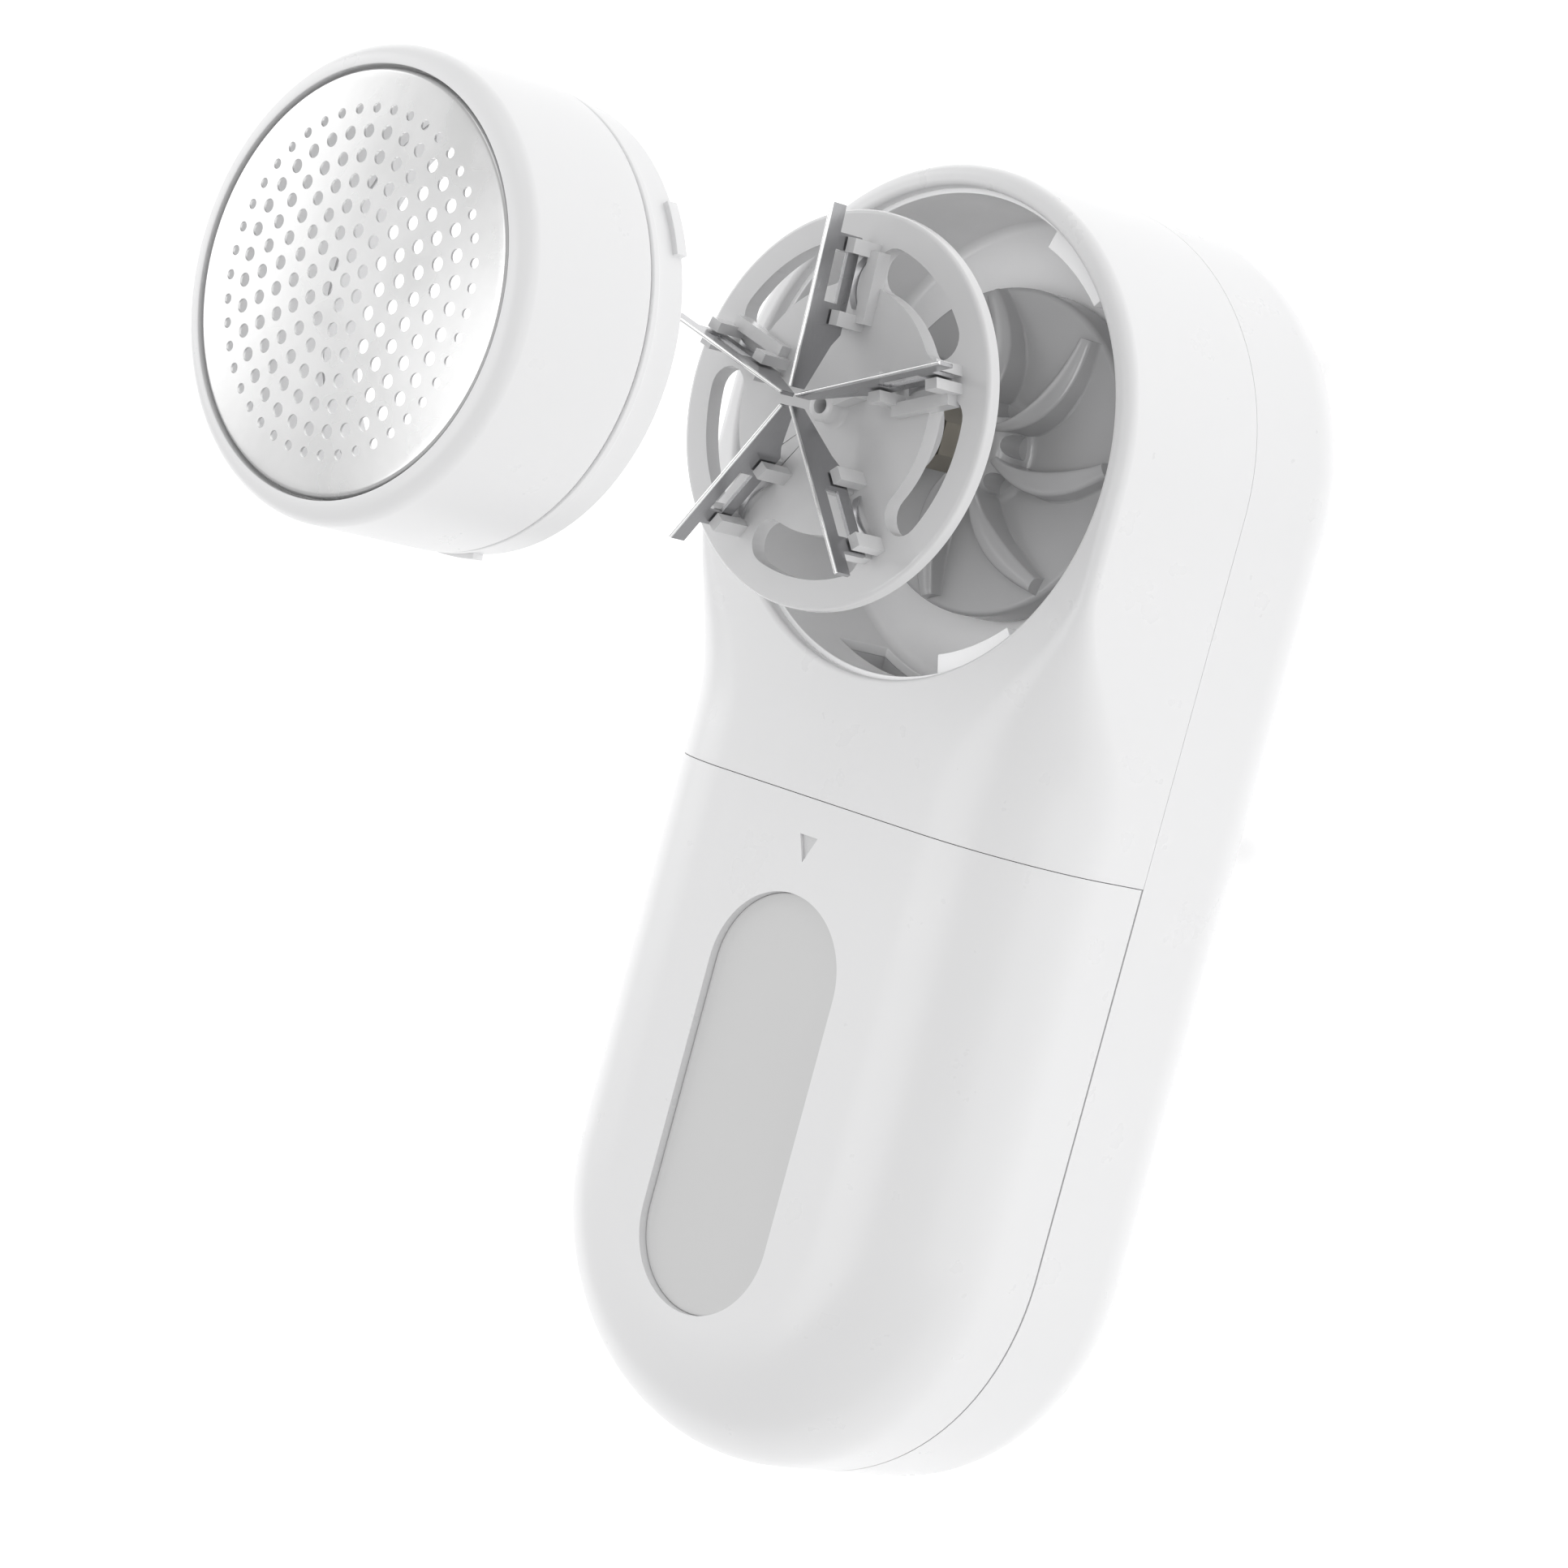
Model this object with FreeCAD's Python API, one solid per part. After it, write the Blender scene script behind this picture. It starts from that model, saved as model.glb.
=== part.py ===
import FreeCAD, Part
import math
import os

# Cordless fabric shaver, lying on its flat back. +Z points out of the front, along the
# cutter axis; +X runs along the body to the head end. Millimetres.
# It stands as it is cleaned: the head and the cutter wheel are drawn off along the axis.

# --- casing ---------------------------------------------------------------------------
HALF_WIDTH = 33.0            # radius of both rounded ends of the body
CENTRE_SPACING = 95.0        # between the centres of the two rounded ends
PARTING_Z = 22.0             # depth of the back casing
FRONT_DEPTH = 24.0           # depth of the front casing
WALL = 2.0                   # casing wall
HANDLE_ROUND = 16.0          # front edge round along the handle and the tail
HEAD_ROUND = 1.6             # front edge round about the bore
LEAST_ROUND = 0.3            # inside a small edge round
BACK_ROUND = 10.0            # edge round of the back
BLEND_START = 12.0           # from the bore centre to where the front edge starts to soften
BLEND_LENGTH = 28.0          # length over which the front edge softens
BLEND_STEPS = 7              # ruled bands in the softening edge
SEAM_OFFSET = 46.2           # bore centre to the seam of the lint box
PANEL_GAP = 0.15             # half of the gap between neighbouring casing parts
OVER = 1.0                   # how far a cut runs on past the face it opens

# --- bore and motor ---------------------------------------------------------------------
BORE_LIP = 2.8               # front face left round the bore
LINER_STEP = 0.6             # how far the liner stands in from the edge of the bore
LINER_GAP = 0.3              # liner to the inside of the casing wall
LINER_RISE = 2.4             # parting plane to the underside of the liner floor
LINER_FLOOR = 1.6            # liner floor thickness
LINER_HOLE = 13.0            # radius of the hole in the liner floor
LUG_DROP = 6.5               # front face to the underside of the bayonet lugs
LUG_THICKNESS = 1.8
LUG_SPAN = 24.0              # degrees
LUG_ANGLES = (90.0, -150.0, -30.0)
LUG_LAP = 0.5                # how far a lug is let into the liner's wall
CAN_RADIUS = 12.2
CAN_WALL = 0.8
CAN_BOTTOM_Z = 5.0
END_CAP = 1.6                # thickness of the motor end cap
PLATE_RADIUS = 18.0
PLATE = 1.6                  # motor plate thickness
SHAFT_RADIUS = 1.5
SHAFT_BOTTOM_Z = 4.2
SHAFT_SHORT = 3.5            # shaft end to the wheel's front face when the wheel is on
RUNNING_GAP = 0.05           # radial clearance of the shaft in its bearings
BUSH_RADIUS = 3.0
MOTOR_SCREW_PLACE = 8.0      # shaft axis to each motor screw
ARMATURE_RADIUS = 8.3
ARMATURE_END = 3.4           # clear length above and below the armature
ARMATURE_SLOT = 1.8          # gap between the armature's poles
ARMATURE_CORE = 3.6          # radius to the foot of those gaps
COMMUTATOR_RADIUS = 2.8
MAGNET_GAP = 0.5             # armature to magnets
MAGNET = 2.4                 # magnet thickness
MAGNET_SPAN = 120.0          # degrees

# --- impeller ---------------------------------------------------------------------------
FAN_CLEARANCE = 9.2          # impeller to the liner's wall
FAN_RISE = 1.2               # liner floor to the impeller's skirt
FAN_DRUM = 4.8               # depth of the impeller's skirt and plate
FAN_PLATE = 1.4
FAN_SKIRT = 1.2
FAN_DROP = 9.0               # front face of the body to the top of the impeller
FAN_SLOPE = 3.0              # how much lower the vanes are at the rim
FAN_HUB = 6.0
FAN_VANES = 7
VANE_THICKNESS = 1.5
FAN_CROWN = 3.0              # how far the hub's top rounds in
VANE_BOW = 5.0               # how far a vane bows sideways
VANE_SWEEP = 16.6            # degrees, root to tip
VANE_ROOT = 1.5              # how far a vane runs into the hub
VANE_INSET = 0.98            # vane tip to the impeller's rim
DOG_ACROSS = 7.0             # across the flats of the hexagonal drive dog
DOG_RISE = 1.4               # impeller to the drive dog
DOG_LENGTH = 7.0

# --- cutter wheel -----------------------------------------------------------------------
CUTTER_DRAWN = 7.4           # how far the wheel is drawn off its working place
WHEEL_GAP = 0.7              # wheel to the inside of the head
WHEEL = 2.2                  # wheel thickness
WHEEL_RIM_ROUND = 0.6
WHEEL_PROUD = 8.0            # front face of the body to that of the wheel when it is on
HUB_RADIUS = 6.2
HUB_LIFT = 2.6               # foot of the drive dog to the hub when the wheel is on
INSERT_RADIUS = 4.9
SOCKET_GAP = 0.15            # hexagon socket clearance, each side
SOCKET_SHORT = 1.5           # how much shallower the socket is than the dog is long
BOSS_RADIUS = 1.9
BOSS_HOLE = 1.0
BOSS_HEIGHT = 2.4
WEB_LENGTH = 5.3             # web beside the boss, from the axis
WEB = 1.0
WEB_TURN = -62.0             # degrees
SLOT_COUNT = 5
SLOT_RIM = 3.6               # wheel rim left outside the slots
SLOT_WIDTH = 5.4
SPOKE = 4.6                  # wheel left between neighbouring slots
SLOT_LEAD = 38.0             # degrees from a blade to the middle of the next slot
BLADE_TURN = 3.0             # degrees, first blade
BLADE = 0.5                  # blade thickness
BLADE_INNER = 1.3
BLADE_INSET = 0.6            # blade tip to the wheel's rim
BLADE_EDGE = 8.4             # wheel front face to the cutting edge
BLADE_HEIGHT = 6.5
BLADE_TIP_LENGTH = 3.2
BLADE_TIP_HEIGHT = 2.6
BLADE_NECK = 3.3             # web beside the boss to where the full height starts
BLADE_NECK_LENGTH = 1.5
BLADE_NECK_HEIGHT = 1.2
BLADE_ROOT_HEIGHT = 2.5
WINDOW_LENGTH = 6.3          # slot in a blade, between the wheel's hooks
WINDOW_HEIGHT = 2.2
WINDOW_INSET = 9.0           # middle of the slot in the blade to the wheel's rim
WINDOW_DROP = 2.4            # cutting edge to the slot in the blade
FLOAT_TRAVEL = 0.4           # how far a blade gives
HOOK_LENGTH = 1.8
HOOK_SETBACKS = (1.65, 0.85) # ends of the slot in the blade to the middles of the hooks
HOOK_WIDTH = 1.3
HOOK_HEIGHT = 4.6
HOOK_ROOT = 0.5              # how far a hook is let into the wheel
HOOK_GAP = 0.2               # blade side to hook
RIB_SETBACK = 1.0            # hook gap to the low rib
RIB = 1.6                    # width and height of the rib
SPRING_STRIP = 0.25

# --- head -------------------------------------------------------------------------------
HEAD_DRAWN = 78.3            # how far the head is drawn off its working place
HEAD_GAP = 2.6               # head shell to the liner's wall
HEAD_WALL = 1.3
HEAD_SINK = 2.6              # front face of the body down to the head shell's rear edge
HEAD_PROUD = 0.2             # head's front rim above the foil's edge
HEAD_LIP_WIDTH = 2.6         # front rim, from the outside to the opening for the foil
HEAD_LIP_DEPTH = 2.1
HEAD_FRONT_ROUND = 2.4
FOIL = 0.3
FOIL_GAP = 0.4               # foil to the edge of its opening
FOIL_RISE = 0.6              # cutting edges to the outside of the foil
FLANGE_GAP = 0.2             # foil's flange to the inside of the head shell
FOIL_DOME = 0.9
FOIL_SKIRT = 1.9
FOIL_PITCH = 2.8
FOIL_HOLE = 0.82             # hole radius in the inner rings
FOIL_BORDER = 4.6            # foil's edge to the outer ring of small holes
FOIL_OUTER_PITCH = 2.77
FOIL_OUTER_HOLE = 0.6
SLEEVE_WALL = 0.7
SLEEVE_GAP = 0.1
RING_STEP = 0.15             # how much smaller the locking ring is than the head shell
RING_GAP = 0.35              # groove between the head shell and the locking ring
RING = 1.2
SKIRT_WALL = 1.4
LUG_GAP = 0.3                # locking ring to the lugs, across and along the axis
FOOT_CLEARANCE = 2.6         # foot to the liner's wall
FOOT = 1.6
FOOT_SPAN = 14.0             # degrees
FOOT_LEAD = -26.0            # degrees from a lug to a foot when unlocked

# --- lint box ---------------------------------------------------------------------------
BOX_FLOOR_GAP = 0.3
BOX_FLOOR = 1.0
BOX_END = 1.6
DUCT_HALF = 12.0             # half width of the air passage
DUCT_RISE = 3.6              # underside of the liner floor to the air passage
DUCT_WALL = 1.0
BULKHEAD = 2.0
SEAL = 1.0                   # gasket thickness
SEAL_WIDTH = 1.8
PANE_FROM_SEAM = 22.45       # seam to the window's nearer arc centre
PANE_FROM_TAIL = 5.15        # centre of the tail end to the window's farther arc centre
PANE_BORDER = 6.3            # flat casing left beside the window
PANE = 1.2
PANE_RECESS = 1.1
PANE_LAP = 1.4
PANE_GAP = 0.1
VENT_RADIUS = 0.55
VENT_PITCH = 2.6
VENT_ROWS = ((4.3, 6), (2.7, 5))     # height above the parting plane, number of vents
FILTER = 1.2
FILTER_SETBACK = 7.0         # tail wall to the filter
FILTER_GAP = 0.1
ARROW_FROM_SEAM = 4.5        # seam to the flat edge of the moulded arrow
ARROW_LENGTH = 3.3
ARROW_HALF = 1.5
ARROW_DEPTH = 0.45
TAB_LENGTH = 4.0
TAB_FROM_SEAL = 5.2          # gasket to a tab
TAB_HALF = 3.0
TAB = 1.4
TAB_RISE = 3.0               # parting plane to the tabs
TAB_CLEARANCE = 0.3

# --- handle contents ----------------------------------------------------------------------
DECK_DROP = 1.8              # parting plane to the underside of the deck
DECK = 1.6
DECK_GAP = 0.3               # deck to the casing wall
DECK_PAST_SEAM = 1.7
POST_RADIUS = 2.6
POST_INSET = 7.0             # side of the body to the deck's posts
POST_FROM_SEAM = 21.3
POST_FROM_TAIL = 4.5
SCREW_RADIUS = 1.1
SCREW_GAP = 0.2
SCREW_BITE = 6.0             # depth of a deck screw's hole
SCREW_HEAD = 2.1
SCREW_HEAD_HEIGHT = 1.4
CROSS_LENGTH = 2.6           # the cross in a screw's head
CROSS_WIDTH = 0.6
CROSS_DEPTH = 0.7
DECK_SCREW_LENGTH = 5.0
MOTOR_SCREW_LENGTH = 3.0
COUNTERBORE = 2.4
SHELL_BOSS = 3.2
BOSS_GAP = 0.1               # casing boss to the liner's floor
SHELL_SCREW_Z = 9.0          # seat of the casing screws' heads
BOSS_INSET = 4.4             # side of the body to the head-end casing screws
BOSS_ANGLES = (45.0, -45.0)  # degrees about the bore
HANDLE_BOSS_INSET = 4.6      # side of the body to the handle-end casing screws
HANDLE_BOSS_PAST_SEAM = 6.7
CELL_RADIUS = 8.5
CELL_FROM_SEAM = 13.3
CELL_END_GAP = 4.0           # cell to the charge board
CELL_Z = 11.2
CELL_CAP_RADIUS = 2.8
CELL_CAP = 1.0
CRADLE_HALF = 10.0
CRADLE_TOP_Z = 9.0
CRADLE_SHORT = 3.0           # how much shorter the cradle is, at each end
CRADLE_GAP = 0.1
LATCH_FROM_SEAM = (10.3, 2.3)    # slot for the latch leaf in the deck
LATCH_HALF = 1.8
LATCH_GAP = 0.4              # leaf to the edges of its slot
LATCH_STRIP = 0.2
LATCH_BOW = 0.05             # how far the leaf stands above the deck
BOARD = 1.0
BOARD_Z = 8.0
BOARD_PAST_SEAM = 0.7
BOARD_FROM_CAN = 5.3
BOARD_HALF = 13.0
CHARGE_BOARD_INSET = 5.0     # tip of the tail to the charge board
CHARGE_BOARD_LENGTH = 9.5
CHARGE_BOARD_HALF = 8.0
CHARGE_BOARD_Z = 8.4
PORT_HALF = 4.5
PORT_HEIGHT = 3.3
PORT_LENGTH = 7.3
PORT_INSET = 0.6             # tip of the tail to the port's mouth
PORT_WALL = 0.3
PORT_GAP = 0.25
TONGUE_HALF = 3.3
TONGUE = 0.7
TONGUE_SETBACK = 0.8         # mouth of the port to its tongue
PIPE_RADIUS = 1.0
PIPE_GAP = 0.1
PIPE_Y = 8.5
WIRE_RADIUS = 0.6

# --- slide switch -------------------------------------------------------------------------
KNOB_PAST_SEAM = 16.7
KNOB_TRAVEL = 5.0
KNOB_LENGTH = 11.0
KNOB_WIDTH = 8.0
KNOB_FACE_Z = 0.5
KNOB = 1.6
RECESS_DEPTH = 2.4
RECESS_MARGIN = 0.6
RECESS_FLOOR = 1.0
STEM_HALF = 1.5
STEM_TOP_Z = 6.2
STEM_GAP = 0.4               # stem to the ends of its slot
STEM_SIDE_GAP = 0.3
GRIP_GROOVES = 6
GRIP_PITCH = 1.3
GRIP_GROOVE = 0.6
GRIP_HALF = 2.6
GRIP_DEPTH = 0.4
SWITCH_END = 4.0             # switch case past the stem's travel
SWITCH_HALF = 3.5
SWITCH_REACH = 1.2           # how far the case comes down round the stem

# --- places that follow -------------------------------------------------------------------
V = FreeCAD.Vector
Z_AXIS = V(0, 0, 1)
X_AXIS = V(1, 0, 0)
BODY_DEPTH = PARTING_Z + FRONT_DEPTH
BORE_X = CENTRE_SPACING / 2
TAIL_X = -CENTRE_SPACING / 2
TAIL_TIP_X = TAIL_X - HALF_WIDTH
SEAM_X = BORE_X - SEAM_OFFSET
BORE_RADIUS = HALF_WIDTH - BORE_LIP
LINER_RADIUS = BORE_RADIUS - LINER_STEP
LINER_OUTER = HALF_WIDTH - WALL - LINER_GAP
LINER_FLOOR_Z = PARTING_Z + LINER_RISE
LINER_TOP_Z = BODY_DEPTH - WALL
LUG_Z = BODY_DEPTH - LUG_DROP
FAN_RADIUS = LINER_RADIUS - FAN_CLEARANCE
FAN_PLATE_Z = LINER_FLOOR_Z + LINER_FLOOR + FAN_RISE
FAN_FACE_Z = FAN_PLATE_Z + FAN_DRUM
FAN_TOP_Z = BODY_DEPTH - FAN_DROP
DOG_Z = FAN_TOP_Z + DOG_RISE
DUCT_BOTTOM_Z = LINER_FLOOR_Z + DUCT_RISE
DUCT_TOP_Z = FAN_TOP_Z

HEAD_RADIUS = LINER_RADIUS - HEAD_GAP
HEAD_INNER = HEAD_RADIUS - HEAD_WALL
HEAD_LIP = HEAD_RADIUS - HEAD_LIP_WIDTH
FOIL_RADIUS = HEAD_LIP - FOIL_GAP
FOIL_FLANGE = HEAD_INNER - FLANGE_GAP
FOIL_OUTER_RING = FOIL_RADIUS - FOIL_BORDER
FOIL_RINGS = int((FOIL_OUTER_RING - FOIL_OUTER_HOLE - FOIL_HOLE) / FOIL_PITCH)
FOIL_OUTER_COUNT = round(2 * math.pi * FOIL_OUTER_RING / FOIL_OUTER_PITCH)
SLEEVE_INNER = HEAD_INNER - SLEEVE_GAP - SLEEVE_WALL
RING_RADIUS = HEAD_RADIUS - RING_STEP
SKIRT_RADIUS = SLEEVE_INNER + SKIRT_WALL
LUG_INNER = SKIRT_RADIUS + LUG_GAP
FOOT_RADIUS = LINER_RADIUS - FOOT_CLEARANCE
SKIRT_BOTTOM_Z = LUG_Z - LUG_GAP - FOOT

WHEEL_RADIUS = SLEEVE_INNER - WHEEL_GAP
WHEEL_FRONT_Z = BODY_DEPTH + WHEEL_PROUD
SHAFT_TOP_Z = WHEEL_FRONT_Z - SHAFT_SHORT
HUB_BOTTOM_Z = DOG_Z + HUB_LIFT
ONE_FIFTH = 360.0 / SLOT_COUNT
SLOT_OUTER = WHEEL_RADIUS - SLOT_RIM
SLOT_INNER = SLOT_OUTER - SLOT_WIDTH
SLOT_MIDDLE = (SLOT_INNER + SLOT_OUTER) / 2
SLOT_SPAN = ONE_FIFTH - math.degrees((SLOT_WIDTH + SPOKE) / SLOT_MIDDLE)
WINDOW_RADIUS = WHEEL_RADIUS - WINDOW_INSET
HOOK_RADII = (WINDOW_RADIUS - WINDOW_LENGTH / 2 - HOOK_SETBACKS[0],
              WINDOW_RADIUS + WINDOW_LENGTH / 2 + HOOK_SETBACKS[1])
BLADE_OUTER = WHEEL_RADIUS - BLADE_INSET
BLADE_SHOULDER = WEB_LENGTH + BLADE_NECK
FOIL_EDGE_Z = WHEEL_FRONT_Z + BLADE_EDGE + FOIL_RISE
HEAD_TOP_Z = FOIL_EDGE_Z + HEAD_PROUD
HEAD_SHELL_Z = BODY_DEPTH - HEAD_SINK

PANE_RADIUS = HALF_WIDTH - HANDLE_ROUND - PANE_BORDER
DECK_Z = PARTING_Z - DECK_DROP
TAB_Y = DUCT_HALF + SEAL_WIDTH + TAB_FROM_SEAL + TAB_HALF
TAB_Z = PARTING_Z + TAB_RISE
KNOB_X = SEAM_X + KNOB_PAST_SEAM
BOARD_X = (SEAM_X + BOARD_PAST_SEAM, BORE_X - CAN_RADIUS - BOARD_FROM_CAN)
CHARGE_BOARD_X = (TAIL_TIP_X + CHARGE_BOARD_INSET, TAIL_TIP_X + CHARGE_BOARD_INSET + CHARGE_BOARD_LENGTH)
CELL_X = SEAM_X - CELL_FROM_SEAM
CELL_LENGTH = CELL_X - CHARGE_BOARD_X[1] - CELL_END_GAP
PORT_Z = CHARGE_BOARD_Z + BOARD + PORT_HEIGHT / 2
POST_Y = HALF_WIDTH - POST_INSET
DECK_POSTS = [(x, side * POST_Y) for x in (SEAM_X - POST_FROM_SEAM, TAIL_X - POST_FROM_TAIL) for side in (-1, 1)]
HANDLE_BOSS_Y = HALF_WIDTH - HANDLE_BOSS_INSET


def cylinder(radius, z0, z1, x=0.0, y=0.0):
    return Part.makeCylinder(radius, z1 - z0, V(x, y, z0))


def tube(outer, inner, z0, z1, x=0.0, y=0.0):
    return cylinder(outer, z0, z1, x, y).cut(cylinder(inner, z0 - OVER, z1 + OVER, x, y))


def block(x0, x1, y0, y1, z0, z1):
    return Part.makeBox(x1 - x0, y1 - y0, z1 - z0, V(x0, y0, z0))


def stadium(x0, x1, radius, z0, z1):
    """Prism with two straight sides along X and two round ends."""
    middle = block(x0, x1, -radius, radius, z0, z1)
    return middle.fuse([cylinder(radius, z0, z1, x0), cylinder(radius, z0, z1, x1)]).removeSplitter()


def hexagon(across, z0, z1, x):
    corner = across / math.sqrt(3)
    turns = [math.radians(60 * k) for k in range(7)]
    points = [V(x + corner * math.cos(turn), corner * math.sin(turn), z0) for turn in turns]
    return Part.Face(Part.makePolygon(points)).extrude(V(0, 0, z1 - z0))


def sector(outer, inner, z0, z1, middle, span, x=0.0):
    """Part of a ring, centred on an angle in degrees."""
    half = Part.makeCylinder(outer, z1 - z0, V(0, 0, z0), Z_AXIS, span)
    half = half.cut(cylinder(inner, z0 - OVER, z1 + OVER))
    half.rotate(V(0, 0, 0), Z_AXIS, middle - span / 2)
    half.translate(V(x, 0, 0))
    return half


def turned(points, x=0.0):
    """Solid of revolution about the vertical axis at x, from (radius, z) points."""
    wire = Part.makePolygon([V(r, 0, z) for r, z in points] + [V(points[0][0], 0, points[0][1])])
    solid = Part.Face(wire).revolve(V(0, 0, 0), Z_AXIS, 360)
    solid.translate(V(x, 0, 0))
    return solid


def fused(first, others):
    return first.fuse(others).removeSplitter()


def at_angle(shape, degrees, x=0.0):
    copy = shape.copy()
    copy.rotate(V(0, 0, 0), Z_AXIS, degrees)
    copy.translate(V(x, 0, 0))
    return copy


def wire_tube(points, radius):
    """Round wire along straight runs joined by tangent arcs, as large as the runs allow."""
    edges = []
    start = points[0]
    for before, corner, after in zip(points, points[1:], points[2:]):
        into = (corner - before).normalize()
        out = (after - corner).normalize()
        turn = into.getAngle(out)
        reach = 0.45 * min((corner - before).Length, (after - corner).Length)
        arc_start = corner - into * reach
        arc_end = corner + out * reach
        bulge = reach / math.tan(turn / 2) * (1 / math.cos(turn / 2) - 1)
        middle = corner + (out - into).normalize() * bulge
        edges.append(Part.LineSegment(start, arc_start).toShape())
        edges.append(Part.Arc(arc_start, middle, arc_end).toShape())
        start = arc_end
    edges.append(Part.LineSegment(start, points[-1]).toShape())
    path = Part.Wire(edges)
    profile = Part.Wire([Part.makeCircle(radius, points[0], (points[1] - points[0]).normalize())])
    return path.makePipeShell([profile], True, False)


def export(shape, name):
    if not shape.isValid():
        raise ValueError(name + " is not a valid solid")
    shape.exportStep("parts/" + name + ".step")


# --- casing shapes ------------------------------------------------------------------------

def front_section(x, edge_round, inset):
    """Cross-section of the front half at x, with both upper corners rounded."""
    w = HALF_WIDTH - inset
    top = BODY_DEPTH - inset
    r = max(edge_round - inset, LEAST_ROUND)
    k = r * (1 - math.sqrt(0.5))
    a, b = V(x, -w, PARTING_Z), V(x, w, PARTING_Z)
    c, d = V(x, w, top - r), V(x, w - r, top)
    e, f = V(x, r - w, top), V(x, -w, top - r)
    right = Part.Arc(c, V(x, w - k, top - k), d).toShape()
    left = Part.Arc(e, V(x, k - w, top - k), f).toShape()
    lines = [Part.makeLine(a, b), Part.makeLine(b, c), Part.makeLine(d, e), Part.makeLine(f, a)]
    return Part.Wire([lines[0], lines[1], right, lines[2], left, lines[3]])


def edge_round_at(distance):
    """Front edge round at a distance from the bore centre towards the tail."""
    u = min(max((distance - BLEND_START) / BLEND_LENGTH, 0.0), 1.0)
    return HEAD_ROUND + (HANDLE_ROUND - HEAD_ROUND) * u * u * (3 - 2 * u)


def half_turn(edge_round, inset, x, tail):
    """Rounded end of the front half: half of the section turned about its own centre."""
    w = HALF_WIDTH - inset
    top = BODY_DEPTH - inset
    r = max(edge_round - inset, LEAST_ROUND)
    k = r * (1 - math.sqrt(0.5))
    corners = [V(0, 0, PARTING_Z), V(0, w, PARTING_Z), V(0, w, top - r), V(0, w - r, top), V(0, 0, top)]
    edges = [Part.makeLine(corners[0], corners[1]), Part.makeLine(corners[1], corners[2]),
             Part.Arc(corners[2], V(0, w - k, top - k), corners[3]).toShape(),
             Part.makeLine(corners[3], corners[4]), Part.makeLine(corners[4], corners[0])]
    solid = Part.Face(Part.Wire(edges)).revolve(V(0, 0, 0), V(0, 0, 1 if tail else -1), 180)
    solid.translate(V(x, 0, 0))
    return solid


def front_form(inset):
    """The front half of the body as one solid, drawn in by an even inset."""
    start_x = BORE_X - BLEND_START
    end_x = start_x - BLEND_LENGTH
    head = Part.Face(front_section(start_x, HEAD_ROUND, inset)).extrude(V(BLEND_START, 0, 0))
    handle = Part.Face(front_section(TAIL_X, HANDLE_ROUND, inset)).extrude(V(end_x - TAIL_X, 0, 0))
    stations = [start_x - BLEND_LENGTH * k / BLEND_STEPS for k in range(BLEND_STEPS + 1)]
    sections = [front_section(x, edge_round_at(BORE_X - x), inset) for x in stations]
    bands = [Part.makeLoft([a, b], True, True) for a, b in zip(sections, sections[1:])]
    ends = [half_turn(HEAD_ROUND, inset, BORE_X, False), half_turn(HANDLE_ROUND, inset, TAIL_X, True)]
    return head.fuse(bands + [handle] + ends).removeSplitter()


def back_form(inset, top):
    """The back half of the body as one solid, drawn in by an even inset."""
    radius = HALF_WIDTH - inset
    solid = stadium(TAIL_X, BORE_X, radius, inset, top)
    rim = [edge for edge in solid.Edges if edge.BoundBox.ZMax < inset + WALL / 2]
    return solid.makeFillet(BACK_ROUND - inset, rim)


FRONT_OUTER = front_form(0.0)
FRONT_INNER = front_form(WALL)
BIG = 2 * (CENTRE_SPACING + HALF_WIDTH)


def beyond(x, z0, z1):
    """Everything on the head side of a plane across the body."""
    return block(x, x + BIG, -BIG / 2, BIG / 2, z0, z1)


def duct_hole(x0, x1, margin=0.0):
    return block(x0, x1, -DUCT_HALF - margin, DUCT_HALF + margin, DUCT_BOTTOM_Z - margin, DUCT_TOP_Z + margin)


def tab_block(x0, x1, side, margin):
    y = side * TAB_Y
    return block(x0, x1, y - TAB_HALF - margin, y + TAB_HALF + margin, TAB_Z - margin, TAB_Z + TAB + margin)


BOSS_PLACE = HALF_WIDTH - BOSS_INSET
BOSS_TURNS = [math.radians(angle) for angle in BOSS_ANGLES]
SHELL_SCREWS = [(BORE_X + BOSS_PLACE * math.cos(turn), BOSS_PLACE * math.sin(turn)) for turn in BOSS_TURNS]
SHELL_SCREWS += [(SEAM_X + HANDLE_BOSS_PAST_SEAM, side * HANDLE_BOSS_Y) for side in (1, -1)]


def front_shell():
    start = SEAM_X + PANEL_GAP
    shell = FRONT_OUTER.common(beyond(start, 0, BIG))
    shell = shell.cut(FRONT_INNER.common(beyond(start + BULKHEAD, 0, BIG)))
    shell = shell.cut(cylinder(BORE_RADIUS, LINER_TOP_Z - OVER, BODY_DEPTH + OVER, BORE_X))
    bosses = [cylinder(SHELL_BOSS, PARTING_Z, LINER_FLOOR_Z - BOSS_GAP, x, y) for x, y in SHELL_SCREWS]
    shell = shell.fuse([boss.common(FRONT_OUTER) for boss in bosses])
    shell = shell.cut([cylinder(SCREW_RADIUS, PARTING_Z - OVER, LINER_FLOOR_Z, x, y) for x, y in SHELL_SCREWS])
    seal_seat = duct_hole(start - OVER, start + SEAL, SEAL_WIDTH)
    ends = (start - OVER, start + BULKHEAD + OVER)
    tabs = [tab_block(*ends, side, TAB_CLEARANCE) for side in (-1, 1)]
    return shell.cut([duct_hole(*ends), seal_seat] + tabs).removeSplitter()


def inlet_seal():
    start = SEAM_X + PANEL_GAP
    return duct_hole(start, start + SEAL, SEAL_WIDTH).cut(duct_hole(start - OVER, start + SEAL + OVER))


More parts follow.
